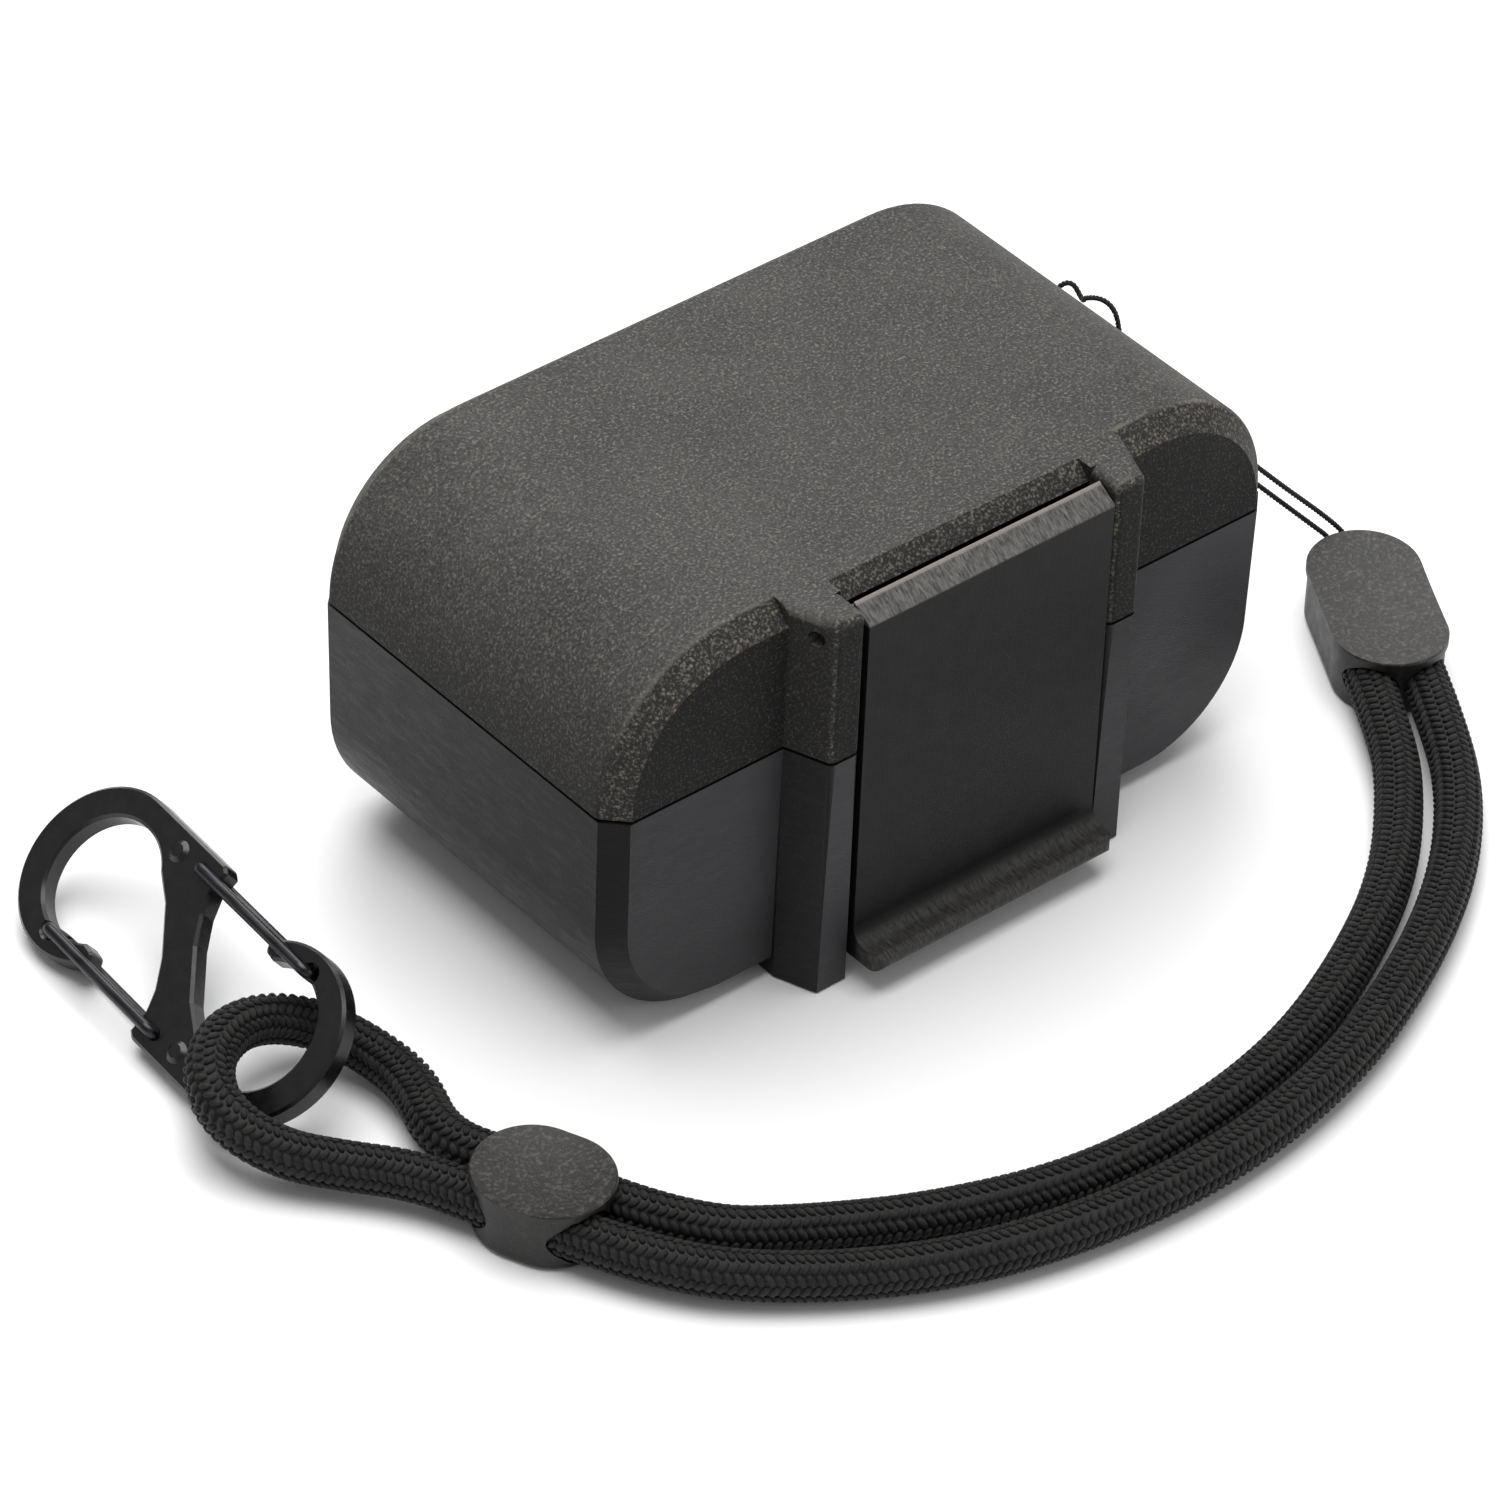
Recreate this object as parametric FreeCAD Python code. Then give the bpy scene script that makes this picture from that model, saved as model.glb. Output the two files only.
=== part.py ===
"""Pocket case for a duck call: hinged two-part case, drop latch, the call in a foam cradle,
and a wrist lanyard with a cord stop, an end cap and a double-gated clip.

Frame: +X along the case, +Y to the hinge side, +Z up, origin on the floor under the case's middle.
Units are millimetres.
"""
import FreeCAD, Part
import math
import os

V = FreeCAD.Vector

# Driving dimensions
# case
case_length = 84.0
case_width = 46.0
case_height = 45.5
parting_height = 28.6
wall = 2.4
lid_corner = 16.2
base_corner = 14.8
edge_bevel = 2.4
edge_soften = 1.0
base_edge_bevel = 2.2
inner_edge_round = 0.5
base_draft_deg = 0.8
lid_overhang = 0.0
parting_gap = 0.34
tongue_height = 1.2
tongue_thickness = 0.9
tongue_clearance = 0.25

# latch frame and flap
flap_width = 30.8
flap_side_gap = 0.3
flap_thickness = 2.4
flap_top_drop = 0.5
flap_bevel_depth = 2.3
flap_bevel_height = 1.45
flap_bottom = 2.8
lip_reach = 2.8
lip_thickness = 1.9
lip_curl = 1.8
lip_corner = 1.5
flap_foot_round = 1.8
frame_depth = 4.9
post_root_width = 5.5
post_front_width = 3.6
frame_edge_round = 0.9
frame_top_round = 1.0
band_reach = 1.0
brow_overhang = 0.9
latch_pin_radius = 0.8
latch_pin_inset = 2.1
latch_pin_drop = 2.5
latch_barrel_radius = 1.5
latch_relief_radius = 2.2
latch_pin_recess = 1.6
running_clearance = 0.06
hook_height = 11.9
hook_thickness = 1.6
hook_width = 16.0
hook_length = 1.6
hook_gap = 0.5
hook_clearance = 0.3
catch_thickness = 1.6

# case hinge
hinge_pin_radius = 1.0
knuckle_radius = 2.2
knuckle_wall_gap = 0.3
knuckle_length = 8.0
knuckle_count = 5
knuckle_gap = 0.3

# duck call, turned parts on one axis
call_axis_height = 27.0
call_length = 72.0
barrel_radius = 13.5
barrel_end = 2.0
mouth_radius = 8.5
mouth_bore_radius = 5.0
socket_radius = 8.0
socket_depth = 26.0
band_width = 5.0
band_thickness = 0.9
stopper_radius = 12.5
stopper_waist_radius = 8.2
bell_radius = 9.2
bell_bore_radius = 7.5
throat_radius = 3.5
plug_radius = 7.5
plug_length = 9.0
stopper_gap = 0.3
ring_section = 0.85
ring_spacing = 4.0
board_radius = 5.0
board_length = 28.0
board_flat_height = 0.6
board_channel_width = 3.0
board_channel_depth = 2.6
reed_thickness = 0.4
reed_width = 8.0
seat_clearance = 0.05
cradle_clearance = 0.3

# lanyard
cord_diameter = 5.0
tether_diameter = 0.6
bead_width = 12.0
bead_height = 6.9
cover_thickness = 1.0
cover_rim = 0.3
cover_dish = 0.6
cord_pitch = 5.6
cord_clearance = 0.08
mouth_flare = 0.5
mouth_flare_length = 2.2
cap_length = 22.5
cap_socket_depth = 7.25
cap_centre = V(60.1, -21.3, 0)
cap_axis = V(0.48, 0.877, 0).normalize()
stop_length = 14.2
stop_centre = V(-61.0, -37.1, 0)
stop_axis = V(-0.40, 0.917, 0).normalize()
eye_reach = 4.4
eye_thickness = 3.0
eye_height = 4.4
eye_place_y = 8.0
eye_hole_radius = 1.2
eye_top_drop = 0.4

# clip: a plate with two hooks, alike when turned half round
clip_thickness = 2.4
clip_hook_radius = 9.3
clip_hook_hole_radius = 6.6
clip_hook_centre = (-0.2, 14.0)
clip_half_width = 9.1
clip_edge_chamfer = 0.3
clip_corner_round = 1.0
gate_wire_radius = 0.6
gate_wire_gap = 0.12
gate_pivot = (-7.2, -4.6)
gate_tip = (-7.2, 14.0)
gate_bend = 0.9
gate_peg_gap = 0.3
gate_notch_clearance = 0.3
rivet_place = (6.9, 8.1)
rivet_radius = 0.8
rivet_head_radius = 1.15
rivet_head_height = 0.35
clip_roll_deg = 38.0
clip_yaw_deg = 3.7
clip_place = (-69.1, 7.8)

# Sizes worked out from them
half_length = case_length / 2
half_width = case_width / 2
draft = math.tan(math.radians(base_draft_deg))
base_top = parting_height - parting_gap / 2
lid_bottom = parting_height + parting_gap / 2
frame_front = half_width + frame_depth
opening_half = flap_width / 2 + flap_side_gap
post_root_x = opening_half + post_root_width
post_front_x = opening_half + post_front_width
latch_pin_y = -(frame_front - latch_pin_inset)
latch_pin_z = case_height - latch_pin_drop
hinge_y = half_width + knuckle_wall_gap + knuckle_radius
stopper_start = barrel_end + stopper_gap
widest_call_radius = max(barrel_radius, stopper_radius)
bead_z = bead_height / 2 - 0.2
channel_radius = cord_diameter / 2 + cord_clearance
cap_side = V(cap_axis.y, -cap_axis.x, 0)
stop_side = V(stop_axis.y, -stop_axis.x, 0)


# Small helpers
def block(x0, x1, y0, y1, z0, z1):
    return Part.makeBox(x1 - x0, y1 - y0, z1 - z0, V(x0, y0, z0))


def prism(points, direction):
    wire = Part.makePolygon(points + [points[0]])
    return Part.Face(wire).extrude(direction)


def rod(start, axis, radius, length):
    return Part.makeCylinder(radius, length, start, axis)


def rod_x(x0, x1, y, z, radius):
    return rod(V(x0, y, z), V(1, 0, 0), radius, x1 - x0)


def turned(profile, z):
    """A solid of revolution about the X-parallel axis at height z; profile is (x, radius) points."""
    points = [V(x, 0, z + r) for x, r in profile]
    wire = Part.makePolygon(points + [points[0]])
    return Part.Face(wire).revolve(V(0, 0, z), V(1, 0, 0), 360)


def rounded(solid, radius, wanted):
    return solid.makeFillet(radius, [e for e in solid.Edges if wanted(e)])


def is_upright(edge):
    a, b = edge.Vertexes[0].Point, edge.Vertexes[-1].Point
    return abs(a.x - b.x) < 1e-6 and abs(a.y - b.y) < 1e-6 and abs(a.z - b.z) > 1e-6


def save(node, *solids):
    shape = solids[0] if len(solids) == 1 else Part.makeCompound(list(solids))
    for solid in shape.Solids:
        if not solid.isValid():
            raise ValueError(node + " holds a solid that is not valid")
    shape.exportStep("parts/" + node + ".step")
    print(node, len(shape.Solids), "solid(s)", round(shape.Volume, 1), "mm3")


# The case's pod shape
def pod(half_x, half_y, z0, z1, corner, corner_at_top, slope, bevel):
    """A round-cornered block: corner rounds seen from the front, and a bevel all along the arch.

    slope narrows it towards z0, on all four sides.
    """
    shrink = slope * (z1 - z0)
    ends = [V(-half_x + shrink, 0, z0), V(half_x - shrink, 0, z0), V(half_x, 0, z1), V(-half_x, 0, z1)]
    long_way = prism([p - V(0, half_y * 1.5, 0) for p in ends], V(0, half_y * 3, 0))
    corner_z = z1 if corner_at_top else z0

    def corner_edge(e):
        middle = e.CenterOfMass
        return abs(middle.z - corner_z) < 1e-6 and abs(middle.x) > half_x * 0.8 and abs(middle.y) < 1e-3

    long_way = rounded(long_way, corner, corner_edge)
    sides = [V(0, -half_y + shrink, z0), V(0, half_y - shrink, z0), V(0, half_y, z1), V(0, -half_y, z1)]
    cross_way = prism([p - V(half_x * 1.5, 0, 0) for p in sides], V(half_x * 3, 0, 0))
    body = long_way.common(cross_way).Solids[0]
    open_z = z0 if corner_at_top else z1
    chain = []
    for face in body.Faces:
        normal = face.normalAt(0, 0)
        if abs(normal.y) > 0.9:
            chain += [e for e in face.Edges if abs(e.CenterOfMass.z - open_z) > 1e-3]
    if bevel:
        return body.makeChamfer(bevel, chain)
    return body.makeFillet(inner_edge_round, chain)


def rim_prism(inset, z0, z1):
    """An upright block with the case's plan at the parting line, inset from the lid's outside."""
    x, y = half_length - inset, half_width - inset
    cut = max(edge_bevel - inset * (2 - math.sqrt(2)), inner_edge_round)
    plan = []
    for sx, sy in ((-1, -1), (1, -1), (1, 1), (-1, 1)):
        pair = [V(sx * x, sy * (y - cut), z0), V(sx * (x - cut), sy * y, z0)]
        plan += pair if sx == sy else pair[::-1]
    return prism(plan, V(0, 0, z1 - z0))


base_half_length = half_length - lid_overhang
base_half_width = half_width - lid_overhang


def base_pod(inset, z0, z1):
    top_growth = draft * (z1 - base_top)
    return pod(
        base_half_length - inset + top_growth,
        base_half_width - inset + top_growth,
        z0,
        z1,
        base_corner - inset,
        False,
        draft,
        0 if inset else base_edge_bevel,
    )


def lid_pod(inset, z0, z1):
    body = pod(
        half_length - inset,
        half_width - inset,
        z0,
        z1,
        lid_corner - inset,
        True,
        0.0,
        0 if inset else edge_bevel,
    )
    if inset:
        return body
    head_y = half_width - edge_bevel

    def head_edge(e):
        ys = [v.Point.y for v in e.Vertexes]
        return abs(ys[0] - ys[-1]) < 1e-6 and abs(abs(ys[0]) - head_y) < 1e-6

    return rounded(body, edge_soften, head_edge)


# Latch frame: two posts either side of the flap
def post(side, z0, z1, slope):
    """One post of the frame, from inside the front wall to the frame's front face."""
    root_y = -half_width + min(wall, edge_bevel)
    front_y = -frame_front
    root_x = post_root_x
    front_x = post_front_x
    plan = [
        V(side * opening_half, root_y, z0),
        V(side * root_x, root_y, z0),
        V(side * root_x, -half_width, z0),
        V(side * front_x, front_y, z0),
        V(side * opening_half, front_y, z0),
    ]
    solid = prism(plan, V(0, 0, z1 - z0))

    def front_edge(e):
        return is_upright(e) and abs(e.CenterOfMass.y - front_y) < 1e-6

    solid = rounded(solid, frame_edge_round, front_edge)
    if slope:
        drop = slope * (z1 - z0)
        big = root_x * 2
        wedge = prism(
            [V(-big, front_y - 1, z0), V(-big, front_y + drop, z0), V(-big, front_y, z1), V(-big, front_y - 1, z1)],
            V(big * 2, 0, 0),
        )
        solid = solid.cut(wedge)
    return solid


# Hinge knuckles
def knuckles(on_lid):
    """The base carries the odd knuckles from the end and the lid the ones between."""
    span = knuckle_length * knuckle_count
    solids = []
    for i in range(knuckle_count):
        if (i % 2 == 1) != on_lid:
            continue
        x0 = -span / 2 + i * knuckle_length + knuckle_gap / 2
        x1 = x0 + knuckle_length - knuckle_gap
        barrel = rod_x(x0, x1, hinge_y, parting_height, knuckle_radius)
        inner_y = half_width - wall * 0.6
        if on_lid:
            web = block(x0, x1, inner_y, hinge_y, lid_bottom, parting_height + knuckle_radius)
        else:
            web = block(x0, x1, inner_y, hinge_y, parting_height - knuckle_radius, base_top)
        bore = rod_x(x0 - 1, x1 + 1, hinge_y, parting_height, hinge_pin_radius + running_clearance)
        solids.append((barrel.fuse(web).removeSplitter(), bore))
    return solids


def hinge_pin():
    half_span = knuckle_length * knuckle_count / 2 - knuckle_gap / 2
    return rod_x(-half_span, half_span, hinge_y, parting_height, hinge_pin_radius)


# Base
def base_wall_y(z):
    """The base's front face at height z."""
    return -(base_half_width - draft * (base_top - z))


def catch():
    """The ridge on the front wall that the flap's hook sits under."""
    low = hook_height + hook_gap
    reach = flap_back_y() + hook_length + hook_clearance
    front = [
        V(-hook_width / 2, base_wall_y(low) + wall * 0.5, low),
        V(-hook_width / 2, reach, low),
        V(-hook_width / 2, reach, low + catch_thickness * 0.5),
        V(-hook_width / 2, base_wall_y(low) + wall * 0.5, low + catch_thickness * 2),
    ]
    return prism(front, V(hook_width, 0, 0))


def tether_eye():
    """The lug on the right end that the tether is hitched to."""
    top = base_top - eye_top_drop
    low = top - eye_height
    x0 = base_half_length - wall * 0.8
    x1 = half_length + eye_reach
    y0 = eye_place_y - eye_thickness / 2
    lug = block(x0, x1, y0, y0 + eye_thickness, low, top)

    def nose_edge(e):
        a, b = e.Vertexes[0].Point, e.Vertexes[-1].Point
        return abs(a.x - x1) < 1e-6 and abs(b.x - x1) < 1e-6 and abs(a.y - b.y) > 1

    lug = rounded(lug, eye_height * 0.45, nose_edge)
    hole = rod(eye_hole_centre() - V(0, eye_thickness, 0), V(0, 1, 0), eye_hole_radius, eye_thickness * 2)
    return lug.cut(hole)


def eye_hole_centre():
    return V(half_length + eye_reach / 2 + 0.4, eye_place_y, base_top - eye_top_drop - eye_height / 2)


def base_shell():
    shell = base_pod(0, 0, base_top)
    for side in (-1, 1):
        shell = shell.fuse(post(side, 0, base_top, draft))
    shell = shell.fuse(catch())
    bores = []
    for knuckle, bore in knuckles(False):
        shell = shell.fuse(knuckle)
        bores.append(bore)
    shell = shell.fuse(tether_eye())
    outer_rim = wall - tongue_thickness
    tongue = rim_prism(lid_overhang + outer_rim, base_top - 1.0, base_top + tongue_height)
    shell = shell.fuse(tongue)
    shell = shell.cut(base_pod(wall, wall, base_top))
    shell = shell.cut(rim_prism(lid_overhang + wall, base_top - 0.01, base_top + tongue_height + 1))
    for bore in bores:
        shell = shell.cut(bore)
    return shell.removeSplitter().Solids[0]


def base_inlay():
    """The foam cradle, filling the base up to the call's axis."""
    foam = base_pod(wall + cradle_clearance, wall, call_axis_height)
    trough_half = call_length / 2 + 2 * cradle_clearance
    seam = barrel_end + stopper_gap / 2
    trough = rod_x(-trough_half, seam, 0, call_axis_height, barrel_radius + cradle_clearance)
    rest = rod_x(seam, trough_half, 0, call_axis_height, widest_call_radius + cradle_clearance)
    return foam.cut(trough.fuse(rest).removeSplitter()).Solids[0]


# Lid
def flap_notch():
    """The cutter over the flap's top: it leaves a sloped band along the lid's front edge."""
    band_top = -half_width + band_reach
    slope_end = -frame_front - 1
    low = case_height - (band_top - slope_end)
    section = [
        V(-opening_half, band_top + 1, case_height + 1),
        V(-opening_half, slope_end, case_height + 1),
        V(-opening_half, slope_end, max(low, latch_pin_z)),
        V(-opening_half, band_top - (case_height - latch_pin_z), latch_pin_z),
    ]
    return prism(section, V(opening_half * 2, 0, 0))


def lid_shell():
    shell = lid_pod(0, lid_bottom, case_height)
    for side in (-1, 1):
        upright = post(side, lid_bottom, case_height, 0.0)
        front_y = -frame_front

        def top_edge(e):
            middle = e.CenterOfMass
            outside = abs(middle.x) > opening_half + 0.5
            return abs(middle.z - case_height) < 1e-6 and outside and middle.y < front_y + frame_depth - 0.3

        shell = shell.fuse(rounded(upright, frame_top_round, top_edge))
    brow_front = -half_width - brow_overhang
    brow = block(
        -opening_half - 1, opening_half + 1, brow_front, -half_width + edge_bevel * 1.5, latch_pin_z + 0.5, case_height
    )
    shell = shell.fuse(brow)
    shell = shell.cut(lid_pod(wall, lid_bottom - 1, case_height - wall))
    relief = rod_x(-opening_half, opening_half, latch_pin_y, latch_pin_z, latch_relief_radius)
    shell = shell.cut(relief).cut(flap_notch())
    groove_inset = wall - tongue_thickness + lid_overhang - tongue_clearance
    shell = shell.cut(rim_prism(groove_inset, lid_bottom - 1, lid_bottom + tongue_height + tongue_clearance))
    pin_hole = rod_x(-half_length, half_length, latch_pin_y, latch_pin_z, latch_pin_radius + running_clearance)
    shell = shell.cut(pin_hole)
    for knuckle, bore in knuckles(True):
        shell = shell.fuse(knuckle).cut(bore)
    return shell.removeSplitter().Solids[0]


def post_outer_x(y):
    share = (-half_width - y) / frame_depth
    return post_root_x - share * (post_root_x - post_front_x)


def latch_pin():
    reach = post_outer_x(latch_pin_y) - latch_pin_recess
    return rod_x(-reach, reach, latch_pin_y, latch_pin_z, latch_pin_radius)


# Flap
def flap_back_y():
    return -frame_front + flap_thickness


def lip_corner_cutter(side, tip_y):
    """What rounds one end corner of the lip, seen from above."""
    corner_x = side * flap_width / 2
    centre = V(corner_x - side * lip_corner, tip_y + lip_corner, flap_bottom - 1)
    height = lip_thickness + 2
    x0, x1 = sorted((centre.x, corner_x + side))
    cutter = block(x0, x1, tip_y - 1, centre.y, centre.z, centre.z + height)
    return cutter.cut(rod(centre, V(0, 0, 1), lip_corner, height))


def latch_flap():
    front = -frame_front
    back = flap_back_y()
    top = case_height - flap_top_drop
    lip_y = front - lip_reach
    lip_top = flap_bottom + lip_thickness
    x = -flap_width / 2
    bevel_foot = V(x, front, top - flap_bevel_height)
    bevel_head = V(x, front + flap_bevel_depth, top)
    curl_top = V(x, front, lip_top + lip_curl)
    curl_end = V(x, front - lip_curl, lip_top)
    curl_middle = V(x, front - lip_curl * (1 - math.sqrt(0.5)), lip_top + lip_curl * (1 - math.sqrt(0.5)))
    tip_top = V(x, lip_y, lip_top)
    tip_low = V(x, lip_y, flap_bottom)
    tip_middle = V(x, lip_y - lip_thickness / 2, (lip_top + flap_bottom) / 2)
    foot = flap_foot_round
    foot_back = V(x, back, flap_bottom + foot)
    foot_low = V(x, back - foot, flap_bottom)
    foot_middle = V(x, back - foot * (1 - math.sqrt(0.5)), flap_bottom + foot * (1 - math.sqrt(0.5)))
    edges = [
        Part.LineSegment(foot_back, V(x, back, top)),
        Part.LineSegment(V(x, back, top), bevel_head),
        Part.LineSegment(bevel_head, bevel_foot),
        Part.LineSegment(bevel_foot, curl_top),
        Part.Arc(curl_top, curl_middle, curl_end),
        Part.LineSegment(curl_end, tip_top),
        Part.Arc(tip_top, tip_middle, tip_low),
        Part.LineSegment(tip_low, foot_low),
        Part.Arc(foot_low, foot_middle, foot_back),
    ]
    outline = Part.Wire([e.toShape() for e in edges])
    flap = Part.Face(outline).extrude(V(flap_width, 0, 0))
    for side in (-1, 1):
        flap = flap.cut(lip_corner_cutter(side, lip_y - lip_thickness / 2))
    barrel = rod_x(-flap_width / 2, flap_width / 2, latch_pin_y, latch_pin_z, latch_barrel_radius)
    hook = block(
        -hook_width / 2, hook_width / 2, back - 0.5, back + hook_length, hook_height - hook_thickness, hook_height
    )
    flap = flap.fuse(barrel).fuse(hook)
    bore = rod_x(-flap_width, flap_width, latch_pin_y, latch_pin_z, latch_pin_radius + running_clearance)
    return flap.cut(bore).removeSplitter().Solids[0]


# The call
def call_barrel():
    mouth = -call_length / 2
    socket_start = barrel_end - socket_depth
    band_x = barrel_end - band_width
    body = turned(
        [
            (mouth, mouth_bore_radius),
            (mouth, mouth_radius - 0.6),
            (mouth + 0.6, mouth_radius),
            (mouth + 2.4, mouth_radius),
            (mouth + 4.5, mouth_radius - 1.3),
            (mouth + 8.0, mouth_radius - 0.6),
            (mouth + 14.0, barrel_radius - 1.4),
            (mouth + 18.0, barrel_radius),
            (band_x, barrel_radius),
            (band_x, barrel_radius - band_thickness),
            (barrel_end, barrel_radius - band_thickness),
            (barrel_end, socket_radius),
            (socket_start, socket_radius),
            (socket_start - 3.0, mouth_bore_radius),
        ],
        call_axis_height,
    )
    return body


def call_band():
    band_x = barrel_end - band_width
    inner = barrel_radius - band_thickness
    return turned(
        [(band_x, inner), (band_x, barrel_radius), (barrel_end, barrel_radius), (barrel_end, inner)],
        call_axis_height,
    )


def ring_places():
    first = stopper_start - plug_length + 2.2
    return [first, first + ring_spacing]


def ring_centre_radius():
    return socket_radius - seat_clearance - ring_section


def call_stopper():
    end = call_length / 2
    board_end = stopper_start + plug_length * 0.4
    plug_start = stopper_start - plug_length
    groove = ring_centre_radius() - ring_section - seat_clearance
    profile = [(plug_start, board_radius + seat_clearance), (plug_start, plug_radius)]
    for x in ring_places():
        half = ring_section + seat_clearance
        profile += [(x - half, plug_radius), (x - half, groove), (x + half, groove), (x + half, plug_radius)]
    profile += [
        (stopper_start, plug_radius),
        (stopper_start, stopper_radius - 0.6),
        (stopper_start + 0.6, stopper_radius),
        (stopper_start + 4.0, stopper_radius),
        (stopper_start + 8.0, stopper_waist_radius + 0.6),
        (stopper_start + 14.0, stopper_waist_radius),
        (end - 8.0, bell_radius - 1.0),
        (end - 3.0, bell_radius),
        (end - 0.6, bell_radius),
        (end, bell_radius - 0.6),
        (end, bell_bore_radius),
        (board_end + 3.0, throat_radius),
        (board_end, throat_radius),
        (board_end, board_radius + seat_clearance),
    ]
    return turned(profile, call_axis_height)


def call_rings():
    rings = []
    for x in ring_places():
        rings.append(Part.makeTorus(ring_centre_radius(), ring_section, V(x, 0, call_axis_height), V(1, 0, 0)))
    return rings


def board_end_x():
    return stopper_start + plug_length * 0.4 - seat_clearance


def call_tone_board():
    x1 = board_end_x()
    x0 = x1 - board_length
    flat_end = stopper_start - plug_length + plug_length * 0.75
    flat_z = call_axis_height + board_flat_height
    board = rod_x(x0, x1, 0, call_axis_height, board_radius)
    board = board.cut(block(x0 - 1, flat_end, -board_radius * 2, board_radius * 2, flat_z, flat_z + board_radius * 2))
    half_channel = board_channel_width / 2
    channel = block(x0 + 2.5, x1 + 1, -half_channel, half_channel, flat_z - board_channel_depth, flat_z + 0.01)
    return board.cut(channel).Solids[0]


def reed_start_x():
    return board_end_x() - board_length + 0.5


def call_reed():
    flat_end = stopper_start - plug_length + plug_length * 0.75
    flat_z = call_axis_height + board_flat_height
    half = reed_width / 2
    return block(reed_start_x(), flat_end - 0.2, -half, half, flat_z, flat_z + reed_thickness)


def call_wedge():
    flat_end = stopper_start - plug_length + plug_length * 0.75
    low = call_axis_height + board_flat_height + reed_thickness
    x1 = flat_end - 0.2
    x0 = stopper_start - plug_length - 3.0
    cork = rod_x(x0, x1, 0, call_axis_height, board_radius - seat_clearance)
    return cork.common(block(x0, x1, -board_radius, board_radius, low, low + board_radius)).Solids[0]


# Cords
def bend_radii(points):
    """0.45 of the shorter run over the tangent of half the turn, at each inner point."""
    radii = []
    for a, b, c in zip(points, points[1:], points[2:]):
        before, after = b - a, c - b
        half_turn = before.getAngle(after) / 2
        radii.append(0.45 * min(before.Length, after.Length) / math.tan(half_turn))
    return radii


def tube(points, radius, radii):
    """A round tube along straight runs joined by tangent arcs."""
    edges = []
    start = points[0]
    for a, b, c, bend in zip(points, points[1:], points[2:], radii):
        into = (b - a).normalize()
        out = (c - b).normalize()
        half_turn = into.getAngle(out) / 2
        back_off = bend * math.tan(half_turn)
        p, q = b - into * back_off, b + out * back_off
        inward = (out - into).normalize()
        middle = b + inward * (bend / math.cos(half_turn) - bend)
        edges.append(Part.LineSegment(start, p).toShape())
        edges.append(Part.Arc(p, middle, q).toShape())
        start = q
    edges.append(Part.LineSegment(start, points[-1]).toShape())
    path = Part.Wire(edges)
    first = (points[1] - points[0]).normalize()
    section = Part.Wire([Part.makeCircle(radius, points[0], first)])
    solid = path.makePipeShell([section], True, False)
    expected = math.pi * radius**2 * path.Length
    print("  tube", round(path.Length, 1), "mm long, volume", round(solid.Volume / expected, 4), "of section x length")
    return solid


def beside(centre, axis, side, along, across, height):
    place = centre + axis * along + side * across
    return V(place.x, place.y, height)


def wrist_cord_points():
    half = cord_pitch / 2
    low = cord_diameter / 2 + 0.1
    cap_start = -cap_length / 2 + cap_socket_depth

    def at_cap(along, across, height):
        return beside(cap_centre, cap_axis, cap_side, along, across, height)

    def at_stop(along, across, height):
        return beside(stop_centre, stop_axis, stop_side, along, across, height)

    return [
        at_cap(cap_start, half, bead_z),
        at_cap(-17.6, half, bead_z),
        V(48.2, -46.6, low),
        V(38.8, -55.2, low),
        V(26.2, -62.7, low),
        V(11.6, -68.8, low),
        V(-4.6, -71.6, low),
        V(-20.8, -70.9, low),
        V(-35.8, -67.0, low),
        V(-48.6, -59.6, low),
        at_stop(-14.5, -half, bead_z),
        at_stop(12.0, -half, bead_z),
        V(-73.2, -21.6, 3.2),
        V(-77.0, -17.6, 3.9),
        V(-79.3, -12.2, 5.6),
        V(-78.0, -7.4, 7.2),
        V(-73.6, -4.2, 7.5),
        V(-68.3, -3.2, 6.2),
        V(-63.3, -5.2, 4.2),
        V(-60.6, -10.2, 2.8),
        V(-60.3, -16.9, 2.9),
        at_stop(12.5, half, bead_z),
        at_stop(-14.5, half, bead_z),
        V(-43.6, -55.0, low),
        V(-33.0, -60.9, low),
        V(-19.4, -65.5, low),
        V(-5.2, -66.2, low),
        V(9.3, -63.9, low),
        V(22.8, -58.2, low),
        V(34.6, -51.2, low),
        V(43.9, -42.4, low),
        at_cap(-17.6, -half, bead_z),
        at_cap(cap_start, -half, bead_z),
    ]


tether_points = [
    V(63.3, -12.6, 4.9),
    V(64.0, -10.2, 5.6),
    V(46.2, 5.0, 25.0),
    V(44.9, 6.6, 25.8),
    V(44.8, 11.0, 26.0),
    V(45.4, 14.4, 26.8),
    V(47.4, 16.6, 28.6),
    V(48.6, 14.9, 30.9),
    V(48.7, 13.0, 29.0),
    V(47.8, 11.9, 30.6),
    V(48.4, 9.9, 31.4),
    V(48.8, 8.2, 30.6),
    V(48.5, 7.1, 28.2),
    V(48.0, 5.0, 25.7),
    V(58.3, -6.6, 13.8),
    V(63.6, -9.4, 8.3),
    V(65.8, -10.9, 5.5),
    V(64.9, -13.2, 4.9),
]


# Beads on the cord
def oval(length, width, height, centre, axis, inset=0.0):
    """An upright oval block with round ends, its long way on axis."""
    radius = width / 2 - inset
    half_straight = (length - width) / 2
    side = V(axis.y, -axis.x, 0)
    a = centre + axis * half_straight
    b = centre - axis * half_straight
    plan = [a + side * radius, b + side * radius, b - side * radius, a - side * radius]
    solid = prism(plan, V(0, 0, height))
    for end in (a, b):
        solid = solid.fuse(Part.makeCylinder(radius, height, end, V(0, 0, 1)))
    return solid.removeSplitter().Solids[0]


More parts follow.
